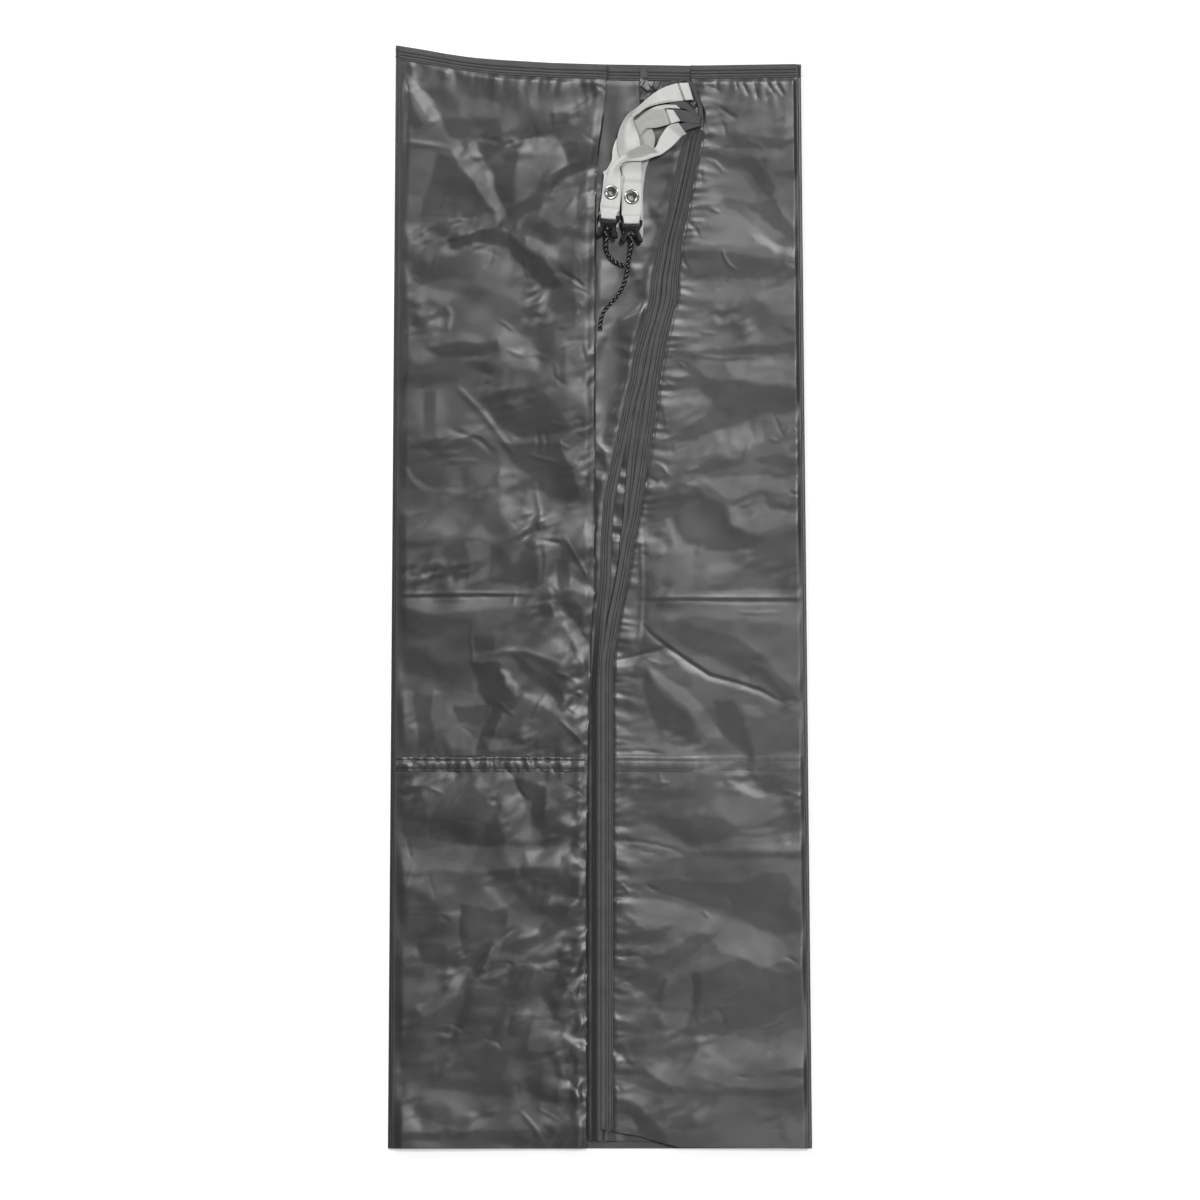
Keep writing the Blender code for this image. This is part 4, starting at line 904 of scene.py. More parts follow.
rightFlap = {
    "step": 1.65,
    "loose": 0.17,
    "rolling": 1.0,
    "strays": 60,
    "edge": flapEdge,
    "crowding": [(0.55, 42, 9, 3.6), (0.5, 20, 5.5, 2.2)],
    "crushed": (560, 1060, 0.6),
    "depth": 0.78,
    "seed": 71,
    # how far each facet turns to the window, how soft its edge is, its corners
    "facets": [
        (0.3, 4, [(37, 479), (42, 481), (42, 553), (42, 575), (37, 608), (20, 609), (20, 573), (28, 533)]),
        (-0.6, 3, [(105, 93), (135, 91), (180, 93), (198, 95), (180, 102), (140, 104), (110, 100)]),
        (-0.65, 4, [(102, 105), (120, 110), (135, 113), (147, 111), (157, 115), (168, 128), (172, 143),
         (167, 154), (160, 148), (152, 131), (135, 122), (118, 118), (103, 111)]),
        (0.4, 6, [(105, 121), (118, 125), (133, 125), (145, 135), (155, 150), (150, 158), (125, 153),
         (106, 148)]),
        (-0.6, 3, [(143, 157), (170, 155), (185, 177), (201, 196), (196, 201), (175, 183), (158, 167)]),
        (-0.5, 3, [(173, 130), (190, 126), (203, 125), (203, 140), (185, 134)]),
        (0.45, 8, [(92, 163), (135, 165), (160, 179), (170, 193), (155, 200), (115, 200), (88, 198)]),
        (0.9, 2.5, [(152, 186), (162, 189), (178, 200), (203, 205), (203, 210), (176, 207), (160, 199)]),
        (-0.6, 3, [(77, 215), (90, 207), (100, 204), (130, 208), (170, 210), (185, 213), (201, 228),
         (195, 234), (150, 233), (110, 234), (85, 231), (78, 225)]),
        (0.7, 2.5, [(182, 215), (197, 221), (201, 227), (186, 220)]),
        (0.25, 8, [(83, 239), (120, 237), (160, 241), (145, 255), (100, 256), (80, 251)]),
        (0.35, 8, [(152, 249), (175, 243), (202, 243), (202, 271), (170, 265)]),
        (-0.3, 5, [(74, 265), (90, 259), (106, 257), (100, 267), (82, 273)]),
        (-0.5, 4, [(178, 279), (190, 283), (203, 291), (200, 295), (185, 288)]),
        (-0.55, 3, [(80, 306), (120, 303), (160, 300), (190, 297), (203, 294), (192, 307), (140, 311),
         (100, 311)]),
        (0.5, 6, [(122, 315), (160, 313), (203, 315), (203, 341), (170, 338), (135, 333)]),
        (-0.6, 3, [(65, 315), (85, 314), (97, 321), (103, 331), (92, 330), (80, 323), (67, 321)]),
        (0.4, 3, [(66, 326), (80, 322), (90, 327), (80, 331), (66, 331)]),
        (-0.6, 4, [(60, 333), (100, 329), (135, 335), (203, 345), (203, 365), (165, 368), (150, 375),
         (120, 382), (100, 390), (78, 394), (66, 389), (90, 378), (107, 366), (114, 355), (100, 344),
         (62, 344)]),
        (0.25, 5, [(64, 347), (90, 347), (108, 354), (98, 364), (75, 371), (62, 363)]),
        (0.55, 5, [(72, 410), (100, 398), (120, 386), (148, 376), (157, 393), (150, 403), (115, 409)]),
        (-0.25, 5, [(157, 373), (203, 373), (203, 390), (168, 394)]),
        (-0.4, 5, [(90, 423), (112, 412), (138, 414), (148, 397), (146, 417), (125, 423), (102, 426)]),
        (-0.55, 3, [(153, 412), (175, 408), (190, 414), (203, 421), (203, 430), (185, 426), (165, 420)]),
        (0.45, 8, [(100, 431), (160, 429), (203, 433), (203, 445), (160, 445), (124, 451)]),
        (0.6, 3, [(124, 456), (145, 459), (160, 449), (190, 466), (203, 468), (203, 477), (162, 485),
         (140, 484), (128, 478)]),
        (-0.45, 3, [(162, 453), (180, 456), (198, 458), (190, 464), (170, 462)]),
        (-0.65, 4, [(45, 444), (65, 441), (80, 438), (98, 440), (103, 449), (122, 459), (123, 473),
         (135, 485), (163, 489), (156, 499), (135, 506), (115, 504), (100, 499), (85, 494), (78, 479),
         (72, 469), (55, 478), (45, 474)]),
        (0.2, 3, [(74, 464), (88, 455), (99, 452), (97, 457), (84, 465)]),
        (0.4, 4, [(45, 483), (55, 493), (65, 498), (65, 509), (50, 514), (43, 502)]),
        (0.4, 3, [(64, 473), (70, 473), (80, 496), (74, 499)]),
        (-0.35, 8, [(162, 494), (208, 484), (208, 541), (105, 542), (122, 533), (145, 520), (156, 509)]),
        (-0.5, 4, [(43, 523), (55, 527), (61, 543), (48, 550), (43, 543)]),
        (0.4, 2.5, [(50, 544), (205, 543), (205, 551), (50, 551)]),
        (0.35, 6, [(45, 559), (100, 557), (160, 559), (206, 557), (206, 578), (150, 575), (90, 569),
         (50, 571)]),
        (-0.4, 6, [(55, 579), (65, 573), (78, 571), (90, 578), (112, 581), (135, 588), (152, 599),
         (168, 615), (190, 639), (200, 653), (185, 653), (162, 637), (140, 625), (115, 608), (80, 598)]),
        (-0.55, 4, [(152, 617), (166, 621), (182, 641), (197, 655), (186, 654), (168, 637)]),
        (0.8, 2.5, [(80, 615), (88, 619), (98, 629), (90, 627), (81, 620)]),
        (-0.65, 4, [(43, 625), (55, 641), (75, 658), (90, 673), (103, 699), (90, 699), (75, 688), (55, 678),
         (45, 659), (39, 639)]),
        (0.65, 4, [(44, 617), (55, 622), (80, 638), (100, 658), (120, 678), (127, 689), (106, 692),
         (90, 668), (70, 648), (50, 629)]),
        (-0.6, 4, [(110, 651), (133, 653), (141, 673), (149, 698), (155, 725), (146, 718), (138, 701),
         (126, 686), (117, 673)]),
        (0.35, 5, [(140, 657), (158, 659), (164, 669), (148, 669)]),
        (0.4, 3, [(12, 701), (40, 697), (65, 695), (90, 702), (112, 709), (145, 703), (146, 713),
         (115, 719), (90, 711), (65, 714), (40, 718), (12, 718)]),
        (-0.45, 5, [(30, 744), (60, 742), (102, 741), (90, 750), (55, 753), (32, 752)]),
        (-0.4, 3, [(94, 725), (112, 727), (112, 737), (96, 737)]),
        (0.5, 4, [(165, 709), (190, 703), (211, 708), (211, 715), (196, 723), (180, 719)]),
        (-0.45, 5, [(147, 725), (170, 729), (203, 736), (202, 743), (180, 748), (166, 745)]),
        (0.8, 2.5, [(126, 733), (138, 733), (152, 740), (168, 747), (157, 750), (138, 742)]),
        (-0.45, 5, [(30, 773), (50, 765), (80, 768), (100, 765), (120, 773), (137, 778), (160, 775),
         (185, 765), (212, 763), (212, 779), (190, 786), (160, 786), (140, 789), (125, 794), (100, 799),
         (85, 789), (60, 779)]),
        (0.4, 3, [(136, 781), (160, 779), (178, 779), (170, 785), (142, 786)]),
        (0.45, 3, [(18, 777), (50, 779), (80, 791), (92, 801), (103, 804), (90, 806), (60, 799),
         (30, 792)]),
        (0.45, 3, [(18, 803), (50, 799), (72, 802), (87, 809), (60, 812), (23, 810)]),
        (0.4, 3, [(125, 799), (160, 796), (203, 794), (203, 802), (160, 802)]),
        (-0.6, 2.5, [(100, 803), (140, 805), (180, 804), (206, 806), (206, 810), (180, 809), (140, 810),
         (102, 808)]),
        (-0.9, 2.5, [(203, 809), (212, 805), (212, 825), (208, 821)]),
        (-0.5, 5, [(15, 834), (40, 836), (60, 831), (100, 832), (140, 834), (160, 827), (185, 824),
         (196, 838), (191, 853), (206, 873), (201, 883), (180, 886), (155, 879), (125, 864), (100, 857),
         (70, 846), (40, 843)]),
        (0.4, 6, [(20, 850), (60, 852), (100, 861), (140, 875), (180, 890), (190, 913), (160, 920),
         (135, 906), (116, 901), (102, 885), (88, 883), (72, 898), (50, 906), (26, 903), (40, 883),
         (20, 869)]),
        (-0.65, 3, [(12, 856), (26, 864), (40, 875), (32, 877), (14, 866)]),
        (-0.65, 3, [(13, 883), (22, 887), (40, 881), (72, 879), (62, 888), (40, 896), (25, 904),
         (15, 899)]),
        (-0.65, 3, [(20, 933), (50, 920), (70, 907), (85, 892), (97, 884), (112, 888), (102, 899),
         (90, 909), (73, 919), (66, 933), (63, 950), (55, 952), (40, 945)]),
        (0.5, 3, [(67, 926), (90, 916), (112, 906), (108, 913), (90, 923), (68, 933)]),
        (-0.45, 3, [(13, 914), (41, 912), (20, 922)]),
        (-0.45, 4, [(14, 937), (25, 938), (40, 956), (25, 959), (12, 954)]),
        (-0.5, 4, [(90, 925), (115, 918), (135, 908), (150, 910), (170, 922), (185, 925), (200, 921),
         (211, 923), (211, 953), (190, 963), (175, 973), (155, 979), (135, 981), (125, 984), (100, 982),
         (96, 963), (90, 943)]),
        (-0.7, 3, [(90, 925), (98, 925), (100, 965), (102, 977), (86, 998), (70, 1011), (66, 1003),
         (80, 985), (92, 965)]),
        (0.85, 2.5, [(13, 963), (22, 968), (41, 959), (27, 973), (15, 973)]),
        (0.35, 5, [(60, 965), (80, 963), (92, 969), (80, 980), (63, 978)]),
        (-0.35, 6, [(40, 970), (62, 973), (68, 993), (60, 1013), (36, 1013), (30, 989)]),
        (-0.8, 3, [(10, 977), (18, 987), (30, 1012), (20, 1009), (9, 997)]),
        (0.85, 2.5, [(7, 1001), (20, 1007), (31, 1017), (20, 1019), (7, 1010)]),
        (0.55, 4, [(100, 989), (115, 983), (132, 984), (156, 994), (180, 989), (206, 978), (211, 1031),
         (190, 1040), (160, 1039), (120, 1040), (100, 1031), (90, 1028), (80, 1036), (65, 1031), (47, 1025),
         (60, 1016), (90, 1013)]),
        (-0.35, 4, [(172, 1023), (195, 1020), (211, 1022), (211, 1030), (185, 1027)]),
        (-0.5, 3, [(5, 1019), (25, 1017), (45, 1019), (55, 1029), (80, 1039), (92, 1044), (60, 1043),
         (30, 1034), (10, 1029)]),
        (-0.4, 3, [(90, 1043), (140, 1040), (180, 1038), (203, 1043), (180, 1047), (140, 1047),
         (100, 1048)]),
        (-0.85, 3, [(5, 1051), (25, 1050), (36, 1056), (50, 1068), (62, 1083), (69, 1097), (60, 1097),
         (45, 1084), (32, 1069), (20, 1061), (7, 1062)]),
        (0.3, 4, [(8, 1069), (22, 1063), (34, 1071), (40, 1081), (12, 1077)]),
        (0.5, 3, [(22, 553), (41, 553), (41, 575), (34, 593), (22, 575)]),
        (-0.5, 3, [(21, 581), (33, 595), (36, 607), (22, 609)]),
        (-0.45, 3, [(42, 581), (60, 593), (68, 600), (40, 607), (37, 603)]),
        (0.25, 3, [(16, 615), (40, 609), (68, 603), (76, 609), (50, 617), (20, 621)]),
    ],
    # the line of each crease, its rise, its width to the right and to the left
    "creases": [
        ([(117, 31), (116, 43)], -0.43, 3, 4),
        ([(135, 33), (137, 45)], -0.43, 3, 4),
        ([(142, 37), (148, 50)], -0.5, 3, 5),
        ([(152, 33), (157, 54)], -0.56, 4, 5),
        ([(164, 32), (173, 48), (165, 55)], -0.56, 4, 5),
        ([(175, 37), (184, 51)], -0.43, 3, 4),
        ([(103, 113), (115, 117), (122, 125), (128, 126)], 0.31, 2.5, 4),
        ([(90, 175), (97, 176), (104, 175)], 0.28, 3, 3),
        ([(86, 175), (95, 183), (99, 191)], -0.31, 3, 4),
        ([(90, 309), (125, 312), (160, 310)], 0.25, 2.5, 4),
        ([(188, 446), (197, 448), (204, 450)], -0.37, 2.5, 3),
        ([(194, 380), (200, 382), (205, 385)], -0.37, 2.5, 3),
        ([(48, 432), (53, 433), (58, 437)], -0.34, 3, 3),
        ([(52, 415), (62, 419), (68, 429)], 0.31, 3, 4),
        ([(135, 565), (155, 566), (180, 565)], 0.22, 2.5, 2.5),
        ([(12, 705), (40, 703), (65, 706)], -0.31, 2.5, 3),
        ([(12, 791), (50, 795), (82, 803)], -0.31, 2.5, 4),
        ([(125, 953), (135, 945), (146, 938)], 0.22, 2, 2),
        ([(120, 960), (128, 958), (136, 956)], 0.19, 2, 2),
        ([(155, 995), (165, 983), (177, 973)], 0.25, 2, 2),
        ([(157, 979), (170, 977), (184, 971)], 0.22, 2, 2),
        ([(162, 989), (172, 977), (180, 967)], 0.22, 2, 2),
        ([(168, 1005), (178, 998)], -0.25, 2, 2.5),
        ([(136, 1027), (145, 1029), (152, 1027)], -0.25, 2, 2),
        ([(10, 1033), (16, 1036), (22, 1042)], -0.31, 3, 4),
        ([(184, 908), (192, 912), (198, 915)], -0.25, 2.5, 2.5),
        ([(15, 909), (27, 907), (40, 906)], -0.37, 2.5, 3),
        ([(40, 574), (50, 586), (65, 598), (88, 614), (109, 628), (135, 635), (160, 643),
         (186, 657)], -0.75, 2.4, 6),
        ([(14, 613), (40, 607.5), (55, 603.5), (71, 599)], -0.9, 3, 8),
        ([(41, 483), (42, 523), (42, 553), (41, 575), (39, 593), (37, 608)], 0.4, 2.5, 5),
        ([(38, 554), (80, 553), (140, 554), (208, 554)], -0.5, 2.2, 4),
        ([(40, 550), (100, 550), (206, 550)], 0.3, 2, 5),
    ],
}
rightFlapLeft = [(90.3, 19), (90.3, 34), *cornerEdge[1:], (100.2, 84.5)] + [(x + 0.5, d) for x, d in flapEdge[1:]]
across, down = layerGrid(
    along(rightFlapLeft),
    lambda d: sideFold(1, d, foldSetback),
    lambda x: topLine(x, 0.7),
    lambda x: np.interp(x, [1, 40, 65, 80, 211], [1080.5, 1087, 1094.5, 1098, 1099.5]),
    rightFlap["step"],
)
tapeReach = bindingTape["edgeWidth"] * along(flapEdgeShare)(down) * ease(down, 84, 90)
sideGap, edgeGap, topGap = across[:, -1:] - across, across - across[:, :1], down - down[:1]
relief = crumpledHeight(across, down, rightFlap)
addGathers(relief, np.clip(topGap - 13, 0, None), across, 0.8, 16, 9, 131)
addGathers(relief, np.clip(edgeGap - tapeReach, 0, None), down, 0.5, 14, 7, 141)
addGathers(relief, np.clip(edgeGap - tapeReach, 0, None), down, 0.5, 30, 17, 151)
calm = ease(topGap, *outOfTape) * ease(sideGap, 0, 4) * ease(edgeGap, tapeReach - 2.5, tapeReach + 2)
height = layerHeight["flap"] + flapLoft * calm + relief * calm
height = np.where(calm > 0.02, settle(height, *flapRoom), height)
rightFlapCloth = gridPiece("rightFlapCloth", across, down, height, cloth)
rightFlapSide = (across[:, -1].copy(), down[:, -1].copy())
print("stage: flaps")

# inner and back layers

innerLayer = {
    "step": 1.8,
    "loose": 0.25,
    "rolling": 0.3,
    "strays": 30,
    "edge": leftEdge,
    "crowding": [(0.6, 34, 8, 3.0)],
    "crushed": (80, 520, 0.4),
    "depth": 1.2,
    "seed": 171,
    # how far each facet turns to the window, how soft its edge is, its corners
    "facets": [
        (-0.59, 6, [(7, 51), (18, 51), (18, 118), (7, 118)]),
        (-1.02, 3, [(38, 35), (68, 35), (68, 57), (55, 63), (38, 57)]),
        (0.68, 4, [(20, 41), (36, 35), (36, 63), (26, 71)]),
        (-1.19, 6, [(44, 103), (90, 81), (84, 113), (76, 138), (62, 143), (50, 133)]),
        (-0.85, 4, [(48, 141), (68, 143), (64, 158), (52, 155)]),
        (-1.02, 2.5, [(50, 158), (56, 165), (59, 177), (66, 184), (63, 187), (55, 180), (51, 167)]),
        (0.68, 4, [(41, 158), (49, 158), (54, 181), (62, 189), (48, 193), (41, 178)]),
        (0.59, 5, [(36, 193), (58, 185), (54, 198), (40, 215), (34, 203)]),
        (0.85, 4, [(0, 217), (18, 215), (20, 235), (6, 253), (-1, 253)]),
        (0.85, 3, [(28, 215), (40, 219), (44, 235), (34, 231)]),
        (-1.53, 3, [(36, 233), (51, 231), (51, 254), (37, 253), (31, 247)]),
        (0.77, 4, [(0, 259), (17, 256), (16, 281), (4, 283), (-2, 279)]),
        (1.02, 2.5, [(18, 271), (40, 262), (49, 256), (50, 260), (36, 268), (22, 275)]),
        (-0.77, 5, [(20, 275), (48, 263), (42, 298), (30, 303), (18, 298)]),
        (0.85, 3, [(-3, 285), (13, 277), (10, 323), (6, 363), (2, 396), (-3, 396)]),
        (-0.85, 4, [(14, 283), (34, 291), (30, 323), (23, 363), (16, 398), (4, 398), (7, 363), (11, 323)]),
        (-1.61, 4, [(13, 303), (32, 307), (30, 337), (11, 335)]),
        (0.51, 3, [(12, 341), (28, 331), (27, 337), (13, 347)]),
        (0.51, 3, [(9, 365), (26, 351), (25, 358), (10, 371)]),
        (0.42, 3, [(6, 385), (20, 377), (18, 384), (6, 391)]),
        (-1.19, 3, [(-4, 405), (4, 409), (13, 421), (6, 421), (-3, 415)]),
        (0.85, 3, [(4, 403), (16, 403), (15, 415), (8, 413)]),
        (-0.85, 3, [(-6, 431), (2, 431), (0, 553), (-6, 553)]),
        (0.51, 2, [(2, 433), (6, 433), (4, 543), (0, 543)]),
    ],
    # the line of each crease, its rise, its width to the right and to the left
    "creases": [
        ([(37, 33), (37, 49), (36, 65)], 0.5, 2.5, 7),
        ([(-4, 395), (1, 400), (6, 406)], 0.5, 2, 3),
        ([(-4, 423), (2, 425), (9, 426)], -0.6, 2, 2),
    ],
}

innerLeftRight = [(52, 21), (52, 60), (88, 80)] + [(x - 0.6, d) for x, d in leftEdge if d > 85]
across, down = layerGrid(
    lambda d: sideFold(0, d, foldSetback),
    along(innerLeftRight),
    lambda x: topLine(x, 3.2, 4),
    level(bottomEdge["inner"]),
    innerLayer["step"],
)
innerTape = bindingTape["edgeWidth"] * along(leftEdgeShare)(down) * ease(down, 80, 90)
sideGap, edgeGap, topGap = across - across[:, :1], across[:, -1:] - across, down - down[:1]
relief = crumpledHeight(across, down, innerLayer)
addGathers(relief, np.clip(topGap - 13, 0, None), across, 0.35, 16, 9, 181)
addGathers(relief, np.clip(edgeGap - innerTape, 0, None), down, 0.75, 24, 12, 191)
calm = ease(topGap, *outOfTape) * ease(sideGap, 0, 4) * ease(edgeGap, innerTape - 1, innerTape + 6)
underFlap = ease(across, -26, -8) * ease(down, 60, 90) * (1 - ease(down, 560, 640))
height = layerHeight["inner"] + relief * calm * (0.45 + 0.55 * underFlap)
# it dips beside the free edge of the flap, which leaves a dark slot along the tapes
height -= 2.4 * (1 - ease(across, -20, -9)) * ease(across, -30, -22) * ease(down, 480, 620)
height = np.where(calm > 0.02, settle(height, innerLowest, layerHeight["inner"] + 1.35 + 1.2 * underFlap), height)
innerLeftCloth = gridPiece("innerLeftCloth", across, down, height, innerCloth)

innerRightLeft = [(53, 21), (53, 57), (96, 82)] + [(x + 0.6, d) for x, d in underEdge if d > 84]
across, down = layerGrid(
    along(innerRightLeft),
    lambda d: sideFold(1, d, foldSetback),
    lambda x: topLine(x, 3.2),
    level(bottomEdge["inner"]),
    3.2,
)
innerTape = bindingTape["edgeWidth"] * along(flapEdgeShare)(down) * ease(down, 80, 90)
sideGap, edgeGap, topGap = across[:, -1:] - across, across - across[:, :1], down - down[:1]
relief = crumpledHeight(across, down, {**innerLayer, "seed": 271})
calm = ease(topGap, *outOfTape) * ease(sideGap, 0, 4) * ease(edgeGap, innerTape - 1, innerTape + 6)
height = layerHeight["inner"] + relief * calm * 0.45
height = np.where(calm > 0.02, settle(height, innerLowest, 5.65), height)
innerRightCloth = gridPiece("innerRightCloth", across, down, height, innerCloth)

across, down = layerGrid(
    lambda d: sideFold(0, d, 0.9),
    lambda d: sideFold(1, d, 0.9),
    lambda x: topLine(x, 0.7),
    level(bottomEdge["back"]),
    4.0,
)
relief = crumpledHeight(across, down, {**innerLayer, "seed": 371})
calm = ease(down - down[:1], 11, 20) * ease(across - across[:, :1], 0, 9) * ease(across[:, -1:] - across, 0, 9)
height = 1.75 + np.clip(relief, -0.8, 0.8) * 0.35 * calm
# it is puckered where it shows between the two tapes
inSlot = ease(across, 9, 13) * (1 - ease(across, 23, 27)) * ease(down, 380, 405) * (1 - ease(down, 500, 540))
height += inSlot * np.clip(-0.3 + 3.2 * gradientNoise(down, across * 0.35, 8.5, 381), -1.4, 1.1)
# the rounded fold down each side, then flat underneath
for edge, sign in ((0, -1), (-1, 1)):
    for angle in (45, 90, 135, 180):
        turn = math.radians(angle)
        new = [array[:, edge][:, None] for array in (across, down, height)]
        radius = 0.85
        shift = radius * (math.sin(turn) - math.sin(turn - math.pi / 4))
        drop = radius * (math.cos(turn) - math.cos(turn - math.pi / 4))
        new = [new[0] + sign * shift, new[1], new[2] + drop]
        order = (new, (across, down, height)) if sign < 0 else ((across, down, height), new)
        across, down, height = (np.concatenate([a, b], axis=1) for a, b in zip(*order))
backCloth = gridPiece("backCloth", across, down, np.clip(height, 0.05, None), innerCloth)
print("stage: inner and back layers")

# side folds, which bend between layer and flap


def foldStrip(name, side, edgeAcross, edgeDown, material):
    # cloth that runs from the flap's side round to the layer below
    sign = -1 if side == 0 else 1
    top, bottom = layerHeight["flap"], layerHeight["inner"]
    middle, radius = (top + bottom) / 2, (top - bottom) / 2
    bulge = 1.2 + 0.9 * gradientNoise(edgeDown, edgeDown * 0, 45, 400 + side) + 0.4
    columns = []
    for angle in range(0, 181, 15):
        turn = math.radians(angle)
        outward = edgeAcross + sign * (0.2 + bulge) * math.sin(turn)
        columns.append((outward, edgeDown, np.full_like(edgeDown, middle + radius * math.cos(turn))))
    across, down, height = (np.stack(list(part), axis=1) for part in zip(*columns))
    return gridPiece(name, across, down, height, material, flip=sign < 0)


leftFold = foldStrip("leftSideFold", 0, *leftFlapSide, shadedLeftCloth)
rightFold = foldStrip("rightSideFold", 1, *rightFlapSide, cloth)
print("stage: side folds")

# binding tape


def curveThrough(points, stepsBetween):
    # a smooth curve through points of any size, with stepsBetween(a, b) steps from each to the next
    points = [np.asarray(point, float) for point in points]
    ends = [points[0] * 2 - points[1], *points, points[-1] * 2 - points[-2]]
    found = []
    for a, b, c, d in zip(ends, ends[1:], ends[2:], ends[3:]):
        count = stepsBetween(b, c)
        for t in np.arange(count) / count:
            bend = (2 * a - 5 * b + 4 * c - d) * t**2 + (3 * b - a - 3 * c + d) * t**3
            found.append(0.5 * (2 * b + (c - a) * t + bend))
    return np.array(found + points[-1:])


def runLengths(points):
    # how far along a line each of its points is
    return np.concatenate([[0], np.cumsum(np.linalg.norm(np.diff(points, axis=0), axis=1))])


def headings(points):
    tangent = np.gradient(points, axis=0)
    return tangent / np.linalg.norm(tangent, axis=1)[:, None]


def smoothLine(points, step):
    # points every step along a smooth curve through the given ones
    given = [np.asarray(point, float) for point in points]
    points = given[:1]
    for a, b in zip(given, given[1:]):
        parts = max(1, round(np.linalg.norm((b - a)[:2]) / 22))
        points += [a + (b - a) * (i + 1) / parts for i in range(parts)]
    found = curveThrough(points, lambda a, b: max(2, int(np.linalg.norm((b - a)[:2]) / step * 3)))
    lengths = runLengths(found[:, :2])
    even = np.linspace(0, lengths[-1], max(3, int(lengths[-1] / step) + 1))
    return np.stack([np.interp(even, lengths, found[:, i]) for i in range(found.shape[1])], axis=1), even


# across the face of a tape: share of its width from the edge, and rise; the dips are its sewn grooves
tapeProfile = [
    (1.0, -0.4), (0.985, -0.08), (0.95, 0.05), (0.9, 0.0), (0.875, -0.3), (0.845, -0.35), (0.82, 0.0), (0.76, 0.1),
    (0.7, 0.04), (0.665, -0.36), (0.63, -0.4), (0.6, -0.02), (0.54, 0.1), (0.47, 0.05), (0.43, -0.3), (0.4, -0.38),
    (0.37, 0.0), (0.3, 0.1), (0.2, 0.06), (0.1, 0.0),
]  # fmt: skip


def tapeStrip(name, route, side, low, high, seed, share=None, slot=0.0, ripple=0.35):
    # a folded tape over an edge: outside face, rounded edge, underside; side 0 runs straight down from the route
    line, lengths = smoothLine(route, bindingTape["step"])
    x, d = line[:, 0], line[:, 1]
    dx, dd = np.gradient(x), np.gradient(d)
    size = np.hypot(dx, dd)
    if side == 0:
        nx, nd = np.zeros_like(x), np.ones_like(x)
    else:
        nx, nd = dd / size * side, -dx / size * side
    width = bindingTape["edgeWidth" if side else "topWidth"]
    reach = width * (along(share)(d) if share else np.ones_like(d))
    top, bottom = high + bindingTape["rise"], low - bindingTape["rise"]
    wave = gradientNoise(lengths, lengths * 0, 14, seed) * ripple * 1.5
    # most rippled where the straps' pull gathers the stack
    pulled = 1.1 + 1.5 * ease(d, 190, 240) * (1 - ease(d, 480, 560))
    shortWave = gradientNoise(lengths, lengths * 0 + 9, 5.0, seed + 1) * ripple * pulled
    columns, shades = [], []
    edgeRadius = (top - bottom) / 2
    for inward, rise in tapeProfile:
        wobble = (wave + shortWave) * (0.35 + inward)
        # the slot is a dip, and the same share paints it dark as shadow
        hollow = slot * ease(d, 520, 640) * (inward > 0.5)
        z = top + rise + wobble * (0.25 + 0.5 * inward) - 0.8 * hollow
        columns.append((x + nx * reach * inward, d + nd * reach * inward, z, reach * inward))
        # painted shade in each sewn groove, darker where it dips deeper, unevenly along the tape
        shadeUnevenness = np.clip(0.9 + 1.2 * gradientNoise(lengths, lengths * 0 + inward * 40, 16, seed + 2), 0, 1.4)
        shades.append(np.clip(max(0.0, -rise * 3.9) * shadeUnevenness + hollow, 0, 0.97))
    for angle in (25, 55, 90, 125, 155):
        turn = math.radians(angle)
        gap = edgeRadius * 0.9 * (1 - math.sin(turn))
        z = (top + bottom) / 2 + edgeRadius * math.cos(turn)
        columns.append((x + nx * gap, d + nd * gap, z + wave * 0.3 * math.cos(turn / 2), gap - angle / 180 * 2))
    columns.append((x + nx * reach * 0.5, d + nd * reach * 0.5, np.full_like(x, bottom), -reach * 0.5 - 2))
    columns.append((x + nx * reach, d + nd * reach, np.full_like(x, bottom), -reach - 2))
    shades += [np.zeros_like(x)] * (len(columns) - len(shades))
    across, down, height, mapAcross = (
        np.stack([np.broadcast_to(column[i], x.shape) for column in columns], axis=1) for i in range(4)
    )
    maps = (mapAcross * metres, np.repeat(lengths[:, None], len(columns), 1) * metres)
    piece = gridPiece(name, across, down, height, tape, side >= 0, maps)
    shadeVertices(piece, np.stack(shades, axis=1))
    return piece, line, (nx, nd, reach, top)


def topRoute(first, last, lowered=0.0, setback=0.0, count=40):
    xs = np.linspace(first, last, count)
    return [(float(x), float(topLine(x, lowered, setback))) for x in xs]


# the underside and top of the cloth that each tape closes over
tapeSpan = {"flap": (6.65, 8.05), "inner": (3.65, 5.05), "back": (0.65, 1.7)}
stitchLines = {"core": [], "left_flap": [], "right_flap": [], "strap_bundle": []}


def sewAlong(body, line, normals):
    # two rows of stitches, as shares of the tape's width from its edge
    nx, nd, reach, top = normals
    for inset in (0.24, 0.84):
        gap = reach * inset
        x, d = line[:, 0] + nx * gap, line[:, 1] + nd * gap
        stitchLines[body].append(np.stack([x, d, np.full_like(x, top + 0.05)], axis=1))


